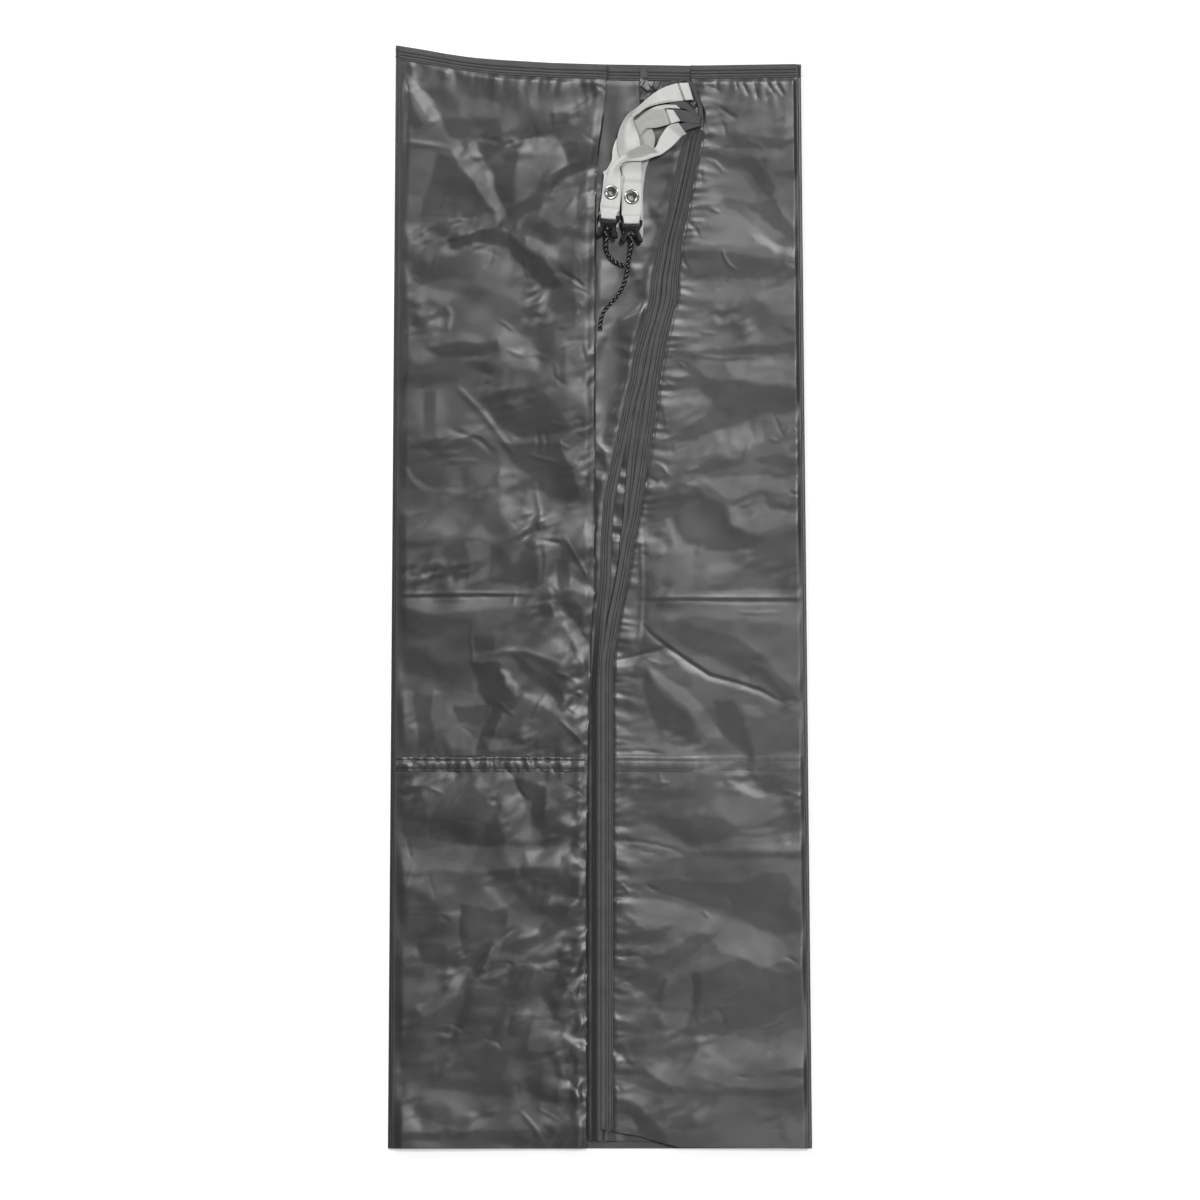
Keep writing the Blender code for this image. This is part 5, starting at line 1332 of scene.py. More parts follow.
leftTopStart = float(sideFold(0, 0, foldSetback))
tapes = {
    # body, layer, route, side the tape lies on, solid, then what is special about it; the top tapes hang from side 0
    "backTopTape": ("core", "back", topRoute(-203.4, 200.3), 0, "back_top_binding", {"ripple": 0.1}),
    "innerLeftTopTape": ("core", "inner", topRoute(leftTopStart, 52, 2.5, 4), 0, "inner_left_top_binding", {}),
    "innerRightTopTape": ("core", "inner", topRoute(53, 195.8, 2.5), 0, "inner_right_top_binding", {}),
    # its slot also paints shadow down the tape's inner half
    "innerLeftEdgeTape": (
        "core", "inner", leftEdge, -1, "inner_left_edge_binding", {"share": leftEdgeShare, "slot": 1.0}
    ),
    "innerRightEdgeTape": ("core", "inner", underEdge, 1, "inner_right_edge_binding", {"share": flapEdgeShare}),
    "leftFlapTopTape": (
        "left_flap", "flap", topRoute(leftTopStart, 6.5, 1.5, 4), 0, "left_flap_top_binding", {"ripple": 0.25}
    ),
    "rightFlapTopTape": ("right_flap", "flap", topRoute(90.3, 195.8), 0, "right_flap_top_binding", {"ripple": 0.25}),
    "rightFlapEdgeTape": ("right_flap", "flap", flapEdge, 1, "right_flap_edge_binding", {"share": flapEdgeShare}),
    "cornerTopTape": ("core", "flap", topRoute(47.5, 89.7, 2.5), 0, "corner_top_binding", {}),
}  # fmt: skip
tapePieces = {}
for seed, (name, (body, layer, route, side, solid, special)) in enumerate(tapes.items(), 501):
    piece, line, normals = tapeStrip(name, route, side, *tapeSpan[layer], seed, **special)
    sewAlong(body, line, normals)
    tapePieces[name] = (piece, body, solid)
print("stage: binding tape")

# straps

strapShape = {"thickness": 1.0, "across": 10, "step": 1.6}


def ribbon(name, stations, thickness, material, seed=0, wave=0.25, count=5, creases=(), shades=(), sewn=()):
    # stations give both edges of a flat strap: left across, down, height, then right across, down, height
    rows = curveThrough(stations, lambda a, b: count)
    left = np.stack([rows[:, 0], halfLength - rows[:, 1], rows[:, 2]], axis=1)
    right = np.stack([rows[:, 3], halfLength - rows[:, 4], rows[:, 5]], axis=1)
    middle = (left + right) / 2
    lengths = runLengths(middle)
    sideways = right - left
    normal = np.cross(sideways, headings(middle))
    normal /= np.linalg.norm(normal, axis=1)[:, None] + 1e-9
    # the section: share across from 0 to 1, offset along the normal
    half, divisions, edge = thickness / 2, strapShape["across"], 0.018
    shares = [edge + (1 - 2 * edge) * i / divisions for i in range(divisions + 1)]
    section = [(share, half) for share in shares] + [(1.0, half * 0.45), (1.0, -half * 0.45)]
    section += [(share, -half) for share in shares[::-1]] + [(0.0, -half * 0.45), (0.0, half * 0.45)]
    rings, maps, tones = [], [], []
    for share, offset in section:
        tone = 0.1 * gradientNoise(lengths, lengths * 0 + share * 20, 9, seed + 5)
        # painted shade over the listed parts, on top of a faint random tone
        for start, end, fromShare, toShare, amount, soft in shades:
            inside = ease(lengths, start - soft, start + soft) * (1 - ease(lengths, end - soft, end + soft))
            across = ease(share, fromShare - 0.06, fromShare + 0.02) * (1 - ease(share, toShare - 0.02, toShare + 0.06))
            inside = inside * float(across)
            tone = np.maximum(tone, amount * inside)
        tones.append(np.clip(tone, 0, 1))
        ripple = wave * gradientNoise(lengths, lengths * 0 + share * 14, 11, seed)
        for creaseAt, depth, spread, start, end in creases:
            inside = ease(lengths, start, start + 5) * (1 - ease(lengths, end - 5, end))
            ripple = ripple + depth * inside * np.exp(-(((share - creaseAt) / spread) ** 2))
        spot = left + sideways * share + normal * (offset + ripple)[:, None]
        rings.append(spot)
        maps.append(np.stack([lengths * 0 + share * 20.0 + (0 if offset > 0 else 30), lengths], axis=1))
    ring, uv = np.stack(rings, axis=1), np.stack(maps, axis=1)
    faces = tubeFaces(*ring.shape[:2])
    piece = finishMesh(name, (ring.reshape(-1, 3) * metres).tolist(), faces, uv.reshape(-1, 2) * metres, material)
    shadeVertices(piece, np.stack(tones, axis=1))
    faceOut(piece)
    for at, lean in sewn:
        row = []
        for share in np.linspace(0.04, 0.96, 12):
            here = at + lean * (share - 0.5)
            upward = normal * np.sign(normal[:, 2:]) * (half + 0.2)
            spot = [np.interp(here, lengths, (left + sideways * share + upward)[:, i]) for i in range(3)]
            row.append((spot[0], halfLength - spot[1], spot[2]))
        stitchLines["strap_bundle"].append(np.array(row))
    return piece


def faceOut(piece):
    shape = bmesh.new()
    shape.from_mesh(piece.data)
    bmesh.ops.recalc_face_normals(shape, faces=shape.faces)
    shape.to_mesh(piece.data)
    shape.free()


class HangingEnd:
    # axes at a strap's hanging end: width across it, up towards the corner, out of its face
    def __init__(self, across, down, height, tilt, roll):
        self.origin = np.array([across, halfLength - down, height])
        self.up = np.array([math.sin(tilt), math.cos(tilt), 0.0])
        level = np.array([math.cos(tilt), -math.sin(tilt), 0.0])
        self.width = level * math.cos(roll) + np.array([0, 0, 1.0]) * math.sin(roll)
        self.out = np.cross(self.width, self.up)

    def spot(self, width, up, out):
        return self.origin + self.width * width + self.up * up + self.out * out

    def station(self, half, up, out):
        left, right = self.spot(-half, up, out), self.spot(half, up, out)
        return (left[0], halfLength - left[1], left[2], right[0], halfLength - right[1], right[2])

    def matrix(self, up=0.0):
        turn = Matrix([self.width.tolist(), self.up.tolist(), self.out.tolist()]).transposed().to_4x4()
        return Matrix.Translation(Vector(self.spot(0, up, 0)) * metres) @ turn


rightEnd = HangingEnd(31.5, 176.3, 13.1, 0.0, 0.0)
leftEnd = HangingEnd(9.0, 171.5, 13.7, math.radians(6), math.radians(18))
lowerHeight = 6.9
lowerLeftEnd = HangingEnd(8.5, 182, lowerHeight, 0.0, 0.0)
lowerRightEnd = HangingEnd(33, 192, lowerHeight, 0.0, 0.0)
barRadius, tongueHalf = 1.2, 7.75


def hangingLoop(end):
    # the end of a strap, down in front, round the hook's bar and back up behind
    layer, turn = 0.65, barRadius + 0.8
    stations = [end.station(10, 34, layer), end.station(10, 14, layer), end.station(9.9, 7, layer + 0.3)]
    stations += [end.station(tongueHalf + 0.8, 4.6, turn - 0.3), end.station(tongueHalf, 0.5, turn)]
    for angle in (30, 60, 90, 120, 150):
        spot = math.radians(angle)
        stations.append(end.station(tongueHalf, -turn * math.sin(spot), turn * math.cos(spot)))
    stations += [end.station(tongueHalf, 0.5, -turn), end.station(tongueHalf + 0.8, 4.6, -turn + 0.3)]
    stations += [end.station(9.9, 7, -layer - 0.3), end.station(10, 14, -layer), end.station(10, 42, -layer)]
    return stations


strapStations = {
    # across, down and height of one edge, then of the other, in mm; each is followed from its sewn end,
    # and the first edge ends up on the left of the hanging end
    "strapOne": [
        (88, 38, 12.4, 93, 55, 12.2), (75, 39, 12.6, 81, 56, 12.4), (60, 44.5, 13, 61, 59, 12.6),
        (48, 53, 13.6, 47, 63, 12.8), (38, 62, 14.4, 39, 68.5, 12.6), (27.5, 70, 14.6, 33.5, 73.5, 12.4),
        (21, 80, 14, 35, 81, 12.6), (17.5, 91, 13.6, 39, 93, 12.8), (17.5, 103, 13.2, 40.5, 105, 12.8),
        (20, 113, 13, 41.5, 115, 12.8), (21.3, 123, 13.6, 41.5, 125, 13.6),
    ],
    "strapTwo": [
        (78, 78, 12.3, 86, 89, 11.9), (68, 81, 12.4, 81, 92, 11.8), (60, 92, 12.6, 73, 100.5, 12.2),
        (54.5, 103, 13.4, 62, 109, 13.8), (46, 100, 15, 54, 112, 15.2), (35, 103, 15.4, 42, 116, 15.8),
        (22, 111, 15.4, 26, 117, 16.4), (11.5, 121, 14.6, 19.8, 123, 17.2), (6.5, 133, 12.8, 20.8, 131, 17.6),
    ],
    "strapThree": [
        (73, 65, 11.8, 80, 76, 12), (60, 64.5, 12, 64, 81, 11.8), (50, 66, 11.6, 55, 83, 11.2),
        (41, 72, 11, 46, 84, 10.4), (30, 79, 10.2, 40, 91, 9.8), (17, 93, 10, 33, 101, 9.2),
        (12.5, 105, 10.2, 29, 111, 8.6), (11.5, 115, 10, 26, 121, 8), (6.5, 124.5, 8.6, 24, 131, 7.3),
        (3.2, 127, 7.9, 21.5, 137, 7), (5.5, 139, 7.2, 21, 145, 6.95), (3.5, 153, 6.95, 20.5, 156, 6.9),
        (-0.5, 167, 6.9, 18.8, 168, 6.9), (-1.7, 181.5, 6.9, 18.3, 182, 6.9),
    ],
    "strapFour": [
        (76, 60.2, 12, 80, 64, 11.9), (64, 60, 11.6, 67, 63.5, 11.4), (52, 63, 10.4, 55, 67.5, 10),
        (41, 70.5, 9.4, 48, 77, 8.8), (33, 79, 8.4, 52, 84, 8), (31, 91, 7.4, 55, 94, 7.4),
        (30, 105, 7, 52, 108, 7), (26, 121, 6.9, 46, 123, 6.9), (23, 143, 6.9, 43, 145, 6.9),
        (23, 168, 6.9, 43, 168, 6.9), (23, 192, 6.9, 43, 192, 6.9),
    ],
}  # fmt: skip
strapStations["strapOne"] += hangingLoop(rightEnd)
strapStations["strapTwo"] += hangingLoop(leftEnd)[1:]

strapLooks = {
    # lengthwise creases; painted shade as start, end, shares across, darkness, softness, for shadow under other straps,
    # facets turned from the light and thin lines at sewn ends; sewn rows as place, lean
    "strapOne": (
        [(0.3, -0.9, 0.09, 62, 108)],
        [(60, 104, -0.2, 0.3, 0.55, 4), (62, 80, 0.72, 1.2, 0.35, 5), (100, 122, -0.2, 1.2, 0.4, 6),
         (20, 46, 0.86, 1.2, 0.5, 4), (131, 133, -0.2, 1.2, 0.35, 0.8), (165, 167, -0.2, 1.2, 0.3, 0.8)],
        [(9, 0), (10.2, 0)],
    ),
    "strapTwo": (
        [(0.74, -0.6, 0.09, 34, 76)],
        [(36, 66, -0.2, 0.7, 0.75, 2.5), (66, 90, 0.5, 1.2, 0.3, 6), (0, 9, -0.2, 1.2, 0.5, 2),
         (121, 123, -0.2, 1.2, 0.3, 0.8)],
        [],
    ),
    "strapThree": ([(0.5, 0.5, 0.1, 14, 40)], [(10, 48, -0.2, 1.2, 0.6, 3)], [(8.5, 0), (9.7, 0)]),
    "strapFour": ([], [(26, 66, -0.2, 1.2, 0.5, 4), (66, 92, -0.2, 1.2, 0.3, 5)], []),
}  # fmt: skip
strapPieces = {}
for index, (name, stations) in enumerate(strapStations.items()):
    looks = strapLooks[name]
    strapPieces[name] = ribbon(name, stations, strapShape["thickness"], webbing, 600 + index, 0.45, 6, *looks)

# dark tabs that gather the straps at the corner
tabs = {
    "tabOne": [
        (84, 33, 9, 94, 39, 12.4), (90, 45, 9.4, 98, 51, 12.2), (97, 59, 9.8, 102, 64, 11.4),
        (99.5, 74, 9.6, 102.5, 75.5, 10.2),
    ],
    "tabTwo": [(64, 83, 10.6, 69, 89, 10.4), (80, 79, 11.2, 84, 86, 10.8), (100, 75.5, 10.4, 101.5, 80.5, 10)],
    "tabThree": [(72, 64, 11.2, 78, 76, 11), (86, 66, 11.8, 88, 78, 11.6), (100, 74, 11, 100.5, 79, 10.8)],
    "tabFour": [(68, 57, 10.8, 72, 63, 10.6), (84, 56.5, 12, 86, 65, 11.6), (100.5, 72, 11.4, 101, 78, 11)],
}  # fmt: skip
tabPieces = {}
for index, (name, stations) in enumerate(tabs.items()):
    tabPieces[name] = ribbon(name, stations, 0.7, tape, 640 + index, 0.35, 9)
print("stage: straps and tabs")

# eyelets

eyeletShape = {"outer": 7.5, "hole": 3.6, "wall": 0.4, "segments": 64, "punch": 4.3}
# the strap it goes through, the end that carries it, its place up from the bar, the thickness it grips
eyeletPlaces = {
    "eyeletRight": ("strapOne", rightEnd, 24.3, 2.3),
    "eyeletLeft": ("strapTwo", leftEnd, 24.3, 2.3),
    "eyeletLowerLeft": ("strapThree", lowerLeftEnd, 20.0, 1.0),
    "eyeletLowerRight": ("strapFour", lowerRightEnd, 20.0, 1.0),
}
domedFlange = [
    (1, 0.0), (1, 0.22), (0.95, 0.5), (0.86, 0.74), (0.74, 0.86), (0.6, 0.88), (0.46, 0.82), (0.33, 0.66), (0.18, 0.38),
]  # fmt: skip


def turnedMesh(name, profile, segments, matrix, material):
    # a closed ring section turned about its own Z axis
    rings = []
    for index in range(segments):
        angle = 2 * math.pi * index / segments
        rings.append([(r * math.cos(angle), r * math.sin(angle), z) for r, z in profile])
    points = np.array(rings)
    faces = []
    count = len(profile)
    for i in range(segments):
        for j in range(count):
            a, b = i * count + j, i * count + (j + 1) % count
            c, d = ((i + 1) % segments) * count + (j + 1) % count, ((i + 1) % segments) * count + j
            faces.append((a, b, c, d))
    flat = [matrix @ (Vector(point) * metres) for point in points.reshape(-1, 3).tolist()]
    uv = points.reshape(-1, 3)[:, :2] * metres
    piece = finishMesh(name, [tuple(point) for point in flat], faces, uv, material)
    faceOut(piece)
    return piece


def addEyelet(name, end, up, thickness):
    face = thickness / 2 + 0.12
    outer, hole, barrel = eyeletShape["outer"], eyeletShape["hole"], eyeletShape["hole"] + eyeletShape["wall"]
    # the flange, from its rim over the crown and down into the barrel
    profile = [(hole + (outer - hole) * share, face + rise * 1.15) for share, rise in domedFlange]
    profile += [(hole + 0.12, face + 0.05), (hole, face - 0.5), (hole, -face - 0.55)]
    profile += [(barrel, -face - 0.55), (barrel, face - 0.1)]
    ring = turnedMesh(name, profile, eyeletShape["segments"], end.matrix(up), nickel)
    back = [(outer, -face), (outer, -face - 0.35), (outer - 0.7, -face - 0.75), (barrel + 1.0, -face - 0.75)]
    back += [(barrel + 0.3, -face - 0.5), (barrel + 0.3, -face)]
    washer = turnedMesh(name + "Washer", back, 48, end.matrix(up), nickel)
    return ring, washer


eyelets = {name: addEyelet(name, end, up, thickness) for name, (strap, end, up, thickness) in eyeletPlaces.items()}


def punchHole(piece, end, up):
    # cuts the strap where its eyelet's barrel goes through
    cutter = bpy.data.meshes.new("punch")
    shape = bmesh.new()
    radius = eyeletShape["punch"] * metres
    bmesh.ops.create_cone(shape, cap_ends=True, segments=40, radius1=radius, radius2=radius, depth=7 * metres)
    shape.to_mesh(cutter)
    shape.free()
    cutter.transform(end.matrix(up))
    tool = addObject("punch", cutter)
    cut = piece.modifiers.new("punch", "BOOLEAN")
    cut.operation, cut.solver, cut.object = "DIFFERENCE", "EXACT", tool
    piece.data = evaluatedMesh(piece)
    piece.modifiers.clear()
    bpy.data.objects.remove(tool)


for strap, end, up, thickness in eyeletPlaces.values():
    punchHole(strapPieces[strap], end, up)
print("stage: eyelets")

# cord hooks

hookShape = {"width": 21.6, "thickness": 3.6, "cordBarDown": 15.0, "edge": 0.8}


def hookMesh(name, end):
    half, arm = hookShape["width"] / 2, tongueHalf + 0.6
    halfOutline = [
        (0, 9.1), (2.2, 9.7), (3.6, 12), (4.2, 15), (half - 5.8, 18.4), (half - 4.2, 21.0), (half - 2.0, 21.6),
        (half, 20.4), (half + 0.1, 18), (half - 1.4, 14.4), (half - 2.6, 11.6), (half - 3.0, 9.2), (half - 2.0, 6.8),
        (half - 0.6, 4.4), (half, 2), (half, -0.6), (half - 0.9, -1.7), (arm + 0.6, -1.7), (arm, -0.6), (arm, 2),
        (arm - 1.1, 3.7), (4, 4.4), (0, 4.6),
    ]  # fmt: skip
    outline = halfOutline + [(-x, y) for x, y in halfOutline[-2:0:-1]]
    curve = bpy.data.curves.new(name, "CURVE")
    curve.dimensions, curve.fill_mode = "2D", "BOTH"
    curve.extrude = (hookShape["thickness"] / 2 - hookShape["edge"]) * metres
    curve.bevel_depth = hookShape["edge"] * metres
    curve.bevel_resolution = 3
    curve.offset = -hookShape["edge"] * metres
    line = curve.splines.new("BEZIER")
    line.bezier_points.add(len(outline) - 1)
    for point, (x, y) in zip(line.bezier_points, outline):
        point.co = (x * metres, -y * metres, 0)
        point.handle_left_type = point.handle_right_type = "AUTO"
    line.use_cyclic_u = True
    line.resolution_u = 4
    guide = addObject(name, curve)
    mesh = evaluatedMesh(guide)
    bpy.data.objects.remove(guide)
    mesh.transform(end.matrix())
    piece = addObject(name, mesh)
    shape = bmesh.new()
    shape.from_mesh(mesh)
    bmesh.ops.remove_doubles(shape, verts=shape.verts, dist=2e-6)
    for length, down in ((2 * arm + 2.4, 0.0), (13.0, hookShape["cordBarDown"])):
        radius = barRadius * metres
        rod = bmesh.ops.create_cone(
            shape, cap_ends=True, segments=24, radius1=radius, radius2=radius, depth=length * metres
        )["verts"]
        turn = end.matrix(-down) @ Matrix.Rotation(math.pi / 2, 4, "Y")
        bmesh.ops.transform(shape, matrix=turn, verts=rod)
    bmesh.ops.recalc_face_normals(shape, faces=shape.faces)
    shape.to_mesh(mesh)
    shape.free()
    mesh.materials.clear()
    mesh.materials.append(plastic)
    mesh.polygons.foreach_set("use_smooth", [True] * len(mesh.polygons))
    mesh.set_sharp_from_angle(angle=math.radians(35))
    return piece


hooks = {1: hookMesh("cordHookRight", rightEnd), 2: hookMesh("cordHookLeft", leftEnd)}
print("stage: cord hooks")

# cords

cordShape = {"radius": 1.9, "around": 20}
lying = 7.25
cordStart = hookShape["cordBarDown"] + barRadius + 0.6 + 2 * cordShape["radius"]
cordRoutes = {
    1: [
        (31.4, 201, 12.8), (30.5, 206, 11.6), (29.3, 212, 9.5), (28.1, 218, lying + 0.7), (27.1, 224, lying),
        (25.8, 231, lying), (23.8, 238, lying), (20.8, 244.5, lying), (16.5, 251, lying), (10.8, 257.5, lying),
        (5.4, 263.5, lying), (2.2, 270, lying), (0.8, 277, lying), (0.3, 284, lying),
    ],
    2: [
        (6.7, 195.5, 13.4), (6.3, 199.5, 12.1), (6.6, 204, 9.9), (8.0, 208.5, lying + 0.9), (10.6, 212.3, lying + 0.1),
        (14, 215.4, lying), (18.5, 218.1, lying), (22, 219.4, lying), (24.4, 220.1, lying),
    ],
}  # fmt: skip


def tubeAlong(name, points, radius, around, material):
    tangent, lengths = headings(points), runLengths(points)
    side = np.cross([0, 0, 1.0], tangent[0])
    side /= np.linalg.norm(side)
    rings, maps = [], []
    for index, point in enumerate(points):
        side = side - tangent[index] * side.dot(tangent[index])
        side /= np.linalg.norm(side)
        up = np.cross(tangent[index], side)
        ring, ringMap = [], []
        for step in range(around):
            angle = 2 * math.pi * step / around
            ring.append(point + (side * math.cos(angle) + up * math.sin(angle)) * radius)
            ringMap.append((step / around, lengths[index] * metres))
        rings.append(ring)
        maps.append(ringMap)
    rings, maps = np.array(rings), np.array(maps)
    faces = tubeFaces(len(points), around)
    piece = finishMesh(name, (rings.reshape(-1, 3) * metres).tolist(), faces, maps.reshape(-1, 2), material)
    faceOut(piece)
    return piece, lengths[-1]


def cordTurn(name, end):
    # the turn of cord round the hook's bar, as a ring
    around, radius, steps = cordShape["around"], cordShape["radius"], 36
    major = barRadius + 0.3 + radius
    turn = end.matrix(-hookShape["cordBarDown"]) @ Matrix.Rotation(math.pi / 2, 4, "Y")
    rings, maps, faces = [], [], []
    for i in range(steps):
        a, after = 2 * math.pi * i / steps, (i + 1) % steps
        for j in range(around):
            b, beside = 2 * math.pi * j / around, (j + 1) % around
            r = major + radius * math.cos(b)
            rings.append(tuple(turn @ (Vector((r * math.cos(a), r * math.sin(a), radius * math.sin(b))) * metres)))
            maps.append((j / around, a * major * metres))
            faces.append((i * around + j, i * around + beside, after * around + beside, after * around + j))
    ring = finishMesh(name, rings, faces, maps, braidedCord)
    faceOut(ring)
    return ring


cords = {}
for number, end in ((1, rightEnd), (2, leftEnd)):
    start = end.spot(0, -cordStart, 0)
    route = [(start[0], halfLength - start[1], start[2]), *cordRoutes[number]]
    smooth = curveThrough(route, lambda a, b: 6)
    xyz = np.stack([smooth[:, 0], halfLength - smooth[:, 1], smooth[:, 2]], axis=1)
    piece, length = tubeAlong(f"cord{number}", xyz, cordShape["radius"], cordShape["around"], braidedCord)
    cords[number] = (piece, cordTurn(f"cordHitch{number}", end), length, xyz)
print("stage: cords")

# the corner that the straps are sewn to, and the felled seams

cornerRight = [(89.7, 19), (88.3, 34), (91.5, 44), (96.3, 56), (101.8, 68), (100, 80)]
across, down = layerGrid(
    level(40.0),
    along(cornerRight),
    lambda x: topLine(x, 0.7),
    lambda x: np.interp(x, [40, 66, 88, 101], [57, 79, 81, 80]),
    0.9,
    20.0,
    80.0,
)
relief = 1.5 * gradientNoise(across + down * 0.6, down * 0.3, 5.5, 701) * ease(down - down[:1], 12, 16)
relief += 0.6 * facetNoise(across, down, 11, 702, 18) * ease(down - down[:1], 12, 16)
cornerPatch = gridPiece("cornerPatch", across, down, 7.6 + relief, patchCloth)


def lieOn(piece, across, down):
    # the height of a piece's face below each place
    tree = BVHTree.FromPolygons([v.co for v in piece.data.vertices], [p.vertices for p in piece.data.polygons])
    heights = []
    for x, d in zip(across.ravel(), down.ravel()):
        spot = tree.ray_cast(Vector((x * metres, (halfLength - d) * metres, 0.05)), Vector((0, 0, -1)))[0]
        heights.append(spot.z / metres if spot else np.nan)
    heights = np.array(heights).reshape(across.shape)
    return np.where(np.isnan(heights), np.nanmean(heights), heights)


seamShape = {"down": 708, "width": 17, "rows": (0.3, 0.82), "step": 1.4, "columns": 15}


def seamStrip(name, body, first, last, flapCloth, stand, pucker, fade, material, seed):
    # the felled seam across a flap: a doubled band between two sewn rows, with puckers
    xs = np.arange(first, last, seamShape["step"])
    across, share = np.meshgrid(xs, np.linspace(0, 1, seamShape["columns"]))
    down = seamShape["down"] + seamShape["width"] * share + 0.9 * gradientNoise(across, across * 0, 60, seed)
    wander = 3 * gradientNoise(across, down, 9, seed + 3)
    flapBase = lieOn(flapCloth, across, down)
    flapBase = flapBase.mean(axis=0)[None, :] * 0.5 + flapBase * 0.5
    stand = stand * (1 - fade * ease(across, 50, 130))
    height = flapBase + stand + pucker * gradientNoise(across + wander, down * 0.35, 6.5, seed + 1)
    height += pucker * 0.8 * np.clip(gradientNoise(across, down * 0.5, 23, seed + 2), -0.3, 1)
    for row in seamShape["rows"]:
        height -= 0.5 * stand * np.exp(-(((share - row) / 0.05) ** 2))
    swell = np.sin(np.pi * np.clip((share - 0.3) / 0.52, 0, 1))
    height += 0.45 * stand * swell * (1 + gradientNoise(across, across * 0, 5, seed + 4))
    height[:2] -= 0.3 * stand[:2]
    height[-2:] -= 0.3 * stand[-2:]
    height[[0, -1]] -= 1.3 * stand[[0, -1]]
    height = settle(height, 5.0, 11.5)
    for row in seamShape["rows"]:
        sewnDown = seamShape["down"] + seamShape["width"] * row + 0 * xs
        sewnHeight = height[int(round(row * (seamShape["columns"] - 1)))] + 0.25
        stitchLines[body].append(np.stack([xs, sewnDown, sewnHeight], axis=1))
    return gridPiece(name, across, down, height, material)


leftSeam = seamStrip("leftSeam", "left_flap", -203, -14.5, leftFlapCloth, 0.8, 1.3, 0.0, shadedLeftCloth, 711)
rightSeam = seamStrip("rightSeam", "right_flap", 15, 203, rightFlapCloth, 0.3, 0.1, 0.85, cloth, 721)

# stitches

stitchShapes = {
    "fine": {"Pitch": 2.5 * metres, "Stitch length": 1.7 * metres, "Thread radius": 0.22 * metres},
    "heavy": {"Pitch": 2.1 * metres, "Stitch length": 2.0 * metres, "Thread radius": 0.36 * metres},
}


def stitchTree():
    tree = bpy.data.node_groups.new("stitchRow", "GeometryNodeTree")
    tree.interface.new_socket("Geometry", in_out="INPUT", socket_type="NodeSocketGeometry")
    for label, value in stitchShapes["fine"].items():
        tree.interface.new_socket(label, in_out="INPUT", socket_type="NodeSocketFloat").default_value = value
    tree.interface.new_socket("Material", in_out="INPUT", socket_type="NodeSocketMaterial")
    tree.interface.new_socket("Geometry", in_out="OUTPUT", socket_type="NodeSocketGeometry")
    nodes, links = tree.nodes, tree.links
    given, out = nodes.new("NodeGroupInput"), nodes.new("NodeGroupOutput")
    toCurve = nodes.new("GeometryNodeMeshToCurve")
    links.new(given.outputs["Geometry"], toCurve.inputs["Mesh"])
    spaced = nodes.new("GeometryNodeResampleCurve")
    spaced.mode = "LENGTH"
    links.new(toCurve.outputs[0], spaced.inputs["Curve"])
    links.new(given.outputs["Pitch"], spaced.inputs["Length"])
    stitch = nodes.new("GeometryNodeMeshCylinder")
    stitch.inputs["Vertices"].default_value = 6
    stitch.inputs["Side Segments"].default_value = 2
    links.new(given.outputs["Thread radius"], stitch.inputs["Radius"])
    links.new(given.outputs["Stitch length"], stitch.inputs["Depth"])
    # the middle of each stitch stands higher than its ends, which go into the cloth
    bow = nodes.new("GeometryNodeSetPosition")
    where = nodes.new("GeometryNodeInputPosition")
    split = nodes.new("ShaderNodeSeparateXYZ")
    links.new(where.outputs[0], split.inputs[0])
    squared = mathNode(tree, "MULTIPLY", split.outputs["Z"], split.outputs["Z"])
    joined = nodes.new("ShaderNodeCombineXYZ")
    links.new(mathNode(tree, "MULTIPLY", squared, 320.0), joined.inputs["X"])
    links.new(stitch.outputs["Mesh"], bow.inputs["Geometry"])
    links.new(joined.outputs[0], bow.inputs["Offset"])
    onPoints = nodes.new("GeometryNodeInstanceOnPoints")
    links.new(spaced.outputs[0], onPoints.inputs["Points"])
    links.new(bow.outputs[0], onPoints.inputs["Instance"])
    heading = nodes.new("GeometryNodeInputTangent")
    turn = nodes.new("FunctionNodeAlignRotationToVector")
    turn.axis = "Z"
    links.new(heading.outputs[0], turn.inputs["Vector"])
    upright = nodes.new("FunctionNodeAlignRotationToVector")
    upright.axis = "X"
    upright.pivot_axis = "Z"
    upright.inputs["Vector"].default_value = (0, 0, -1)
    links.new(turn.outputs[0], upright.inputs["Rotation"])
    links.new(upright.outputs[0], onPoints.inputs["Rotation"])
    realize = nodes.new("GeometryNodeRealizeInstances")
    links.new(onPoints.outputs[0], realize.inputs[0])
    paint = nodes.new("GeometryNodeSetMaterial")
    links.new(realize.outputs[0], paint.inputs["Geometry"])
    links.new(given.outputs["Material"], paint.inputs["Material"])
    links.new(paint.outputs[0], out.inputs[0])
    return tree


rowTree = stitchTree()


def sewRows(name, rows, kind, material):
    # rows are lines of (across, down, height); the tree sets a stitch at every pitch along each
    vertices, edges = [], []
    for row in rows:
        start = len(vertices)
        vertices += [tuple(place(*point)) for point in row]
        edges += [(start + i, start + i + 1) for i in range(len(row) - 1)]
    mesh = bpy.data.meshes.new(name)
    mesh.from_pydata(vertices, edges, [])
    piece = addObject(name, mesh)
    sew = piece.modifiers.new("stitches", "NODES")
    sew.node_group = rowTree
    given = {item.name: item.identifier for item in rowTree.interface.items_tree if item.in_out == "INPUT"}
    for label, value in {**stitchShapes[kind], "Material": material}.items():
        sew[given[label]] = value
    piece.data = evaluatedMesh(piece)
    piece.modifiers.clear()
    if not piece.data.uv_layers:
        piece.data.uv_layers.new(name="clothMap")
    piece.data.uv_layers[0].name = "clothMap"
    return piece


stitchPieces = {}
for body, rows in stitchLines.items():
    kind, sewnWith = ("heavy", blackThread) if body == "strap_bundle" else ("fine", thread)
    stitchPieces[body] = sewRows(f"{body}Stitches", rows, kind, sewnWith)
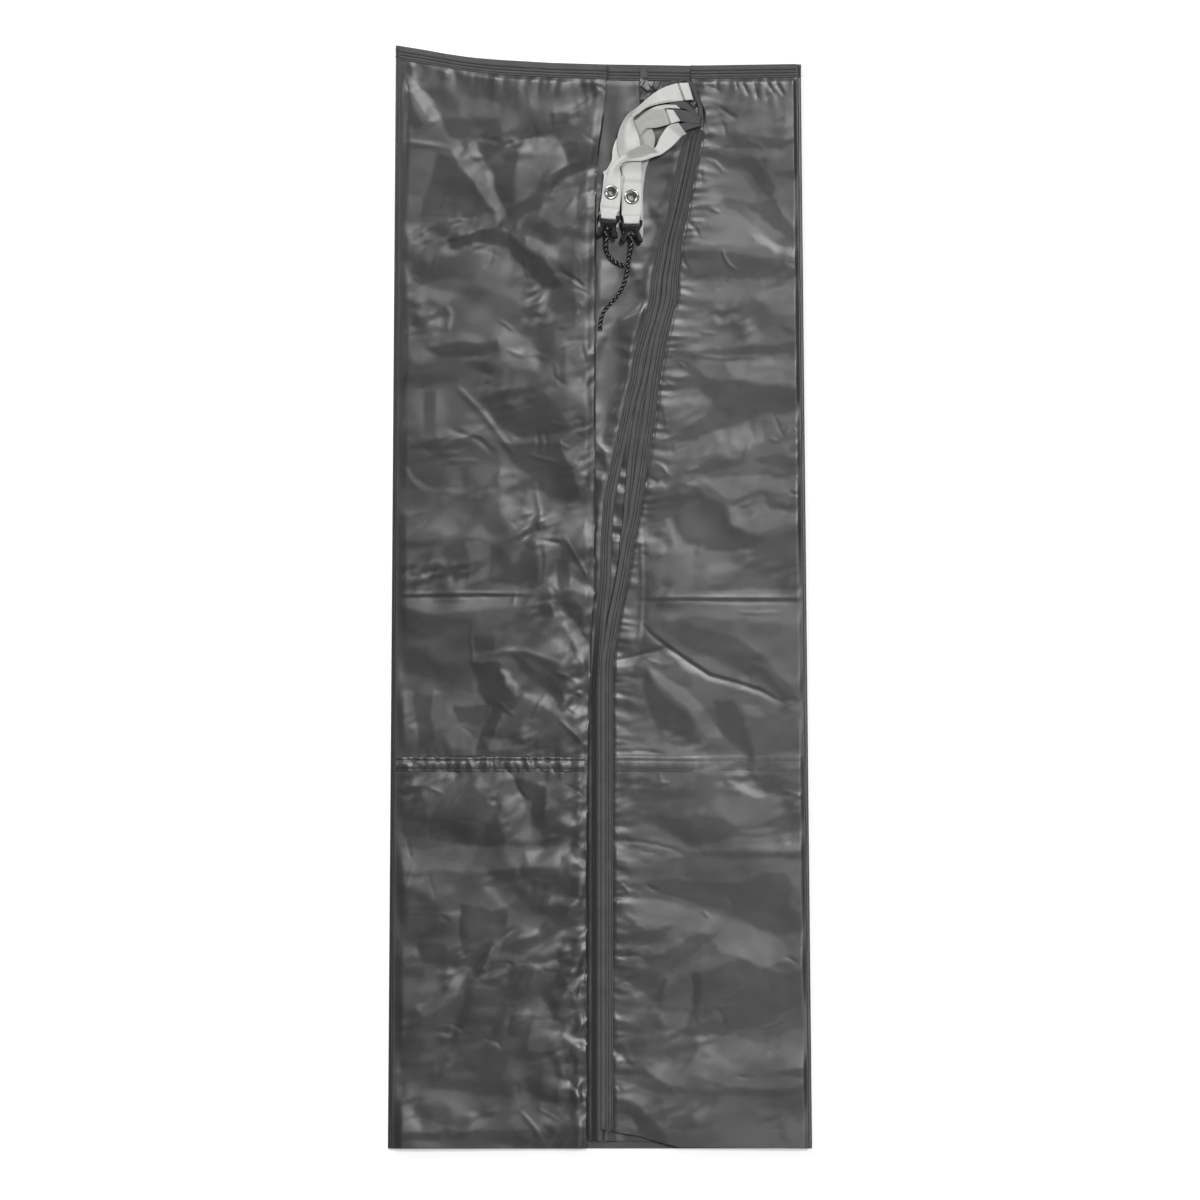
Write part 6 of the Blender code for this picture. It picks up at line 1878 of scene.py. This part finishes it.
# the zigzag that holds the gathered corner
zigzag = [(49 + 1.3 * i + 1.1 * (i % 2), 39.5 + 0.9 * i + 2.6 * (i % 2), 9.2) for i in range(11)]
cornerZigzag = sewRows("cornerZigzag", [zigzag], "heavy", blackThread)
print("stage: stitches")

# what each piece moves with, and the solids that it stands for


def carry(piece, body, slot, *nodes):
    if nodes:
        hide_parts(*nodes)
    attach(piece, body)


carry(leftFlapCloth, "left_flap", "cloth", "left_flap_upper_cloth", "left_flap_lower_cloth")
carry(rightFlapCloth, "right_flap", "cloth", "right_flap_upper_cloth", "right_flap_lower_cloth")
carry(innerLeftCloth, "core", "cloth", "inner_left_upper_cloth", "inner_left_lower_cloth")
carry(innerRightCloth, "core", "cloth", "inner_right_upper_cloth", "inner_right_lower_cloth")
carry(backCloth, "core", "cloth", "back_upper_cloth", "back_lower_cloth", "back_seam")
carry(cornerPatch, "core", "cloth", "corner_patch")
carry(leftSeam, "left_flap", "cloth", "left_flap_seam")
carry(rightSeam, "right_flap", "cloth", "right_flap_seam")
for piece, body, solid in tapePieces.values():
    carry(piece, body, "binding_tape", solid)
for body, piece in stitchPieces.items():
    carry(piece, body, "binding_tape")
carry(cornerZigzag, "core", "binding_tape")
for number, piece in enumerate(strapPieces.values(), 1):
    carry(piece, "strap_bundle", "webbing", f"strap_{number}")
for number, piece in enumerate(tabPieces.values(), 1):
    carry(piece, "strap_bundle", "binding_tape", f"strap_tab_{number}")
for number, (ring, washer) in enumerate(eyelets.values(), 1):
    carry(ring, "strap_bundle", "eyelet_metal", f"eyelet_{number}")
    carry(washer, "strap_bundle", "eyelet_metal", f"eyelet_washer_{number}")
for number, body in ((1, "right_hook"), (2, "left_hook")):
    carry(hooks[number], body, "hook_plastic", f"cord_hook_{number}")
    cord, hitch, length, xyz = cords[number]
    carry(hitch, body, "cord", f"cord_hitch_{number}")
    carry(cord, body, "cord", f"cord_{number}")

for piece, side, body in ((leftFold, 0, "left_flap"), (rightFold, 1, "right_flap")):
    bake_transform(piece)
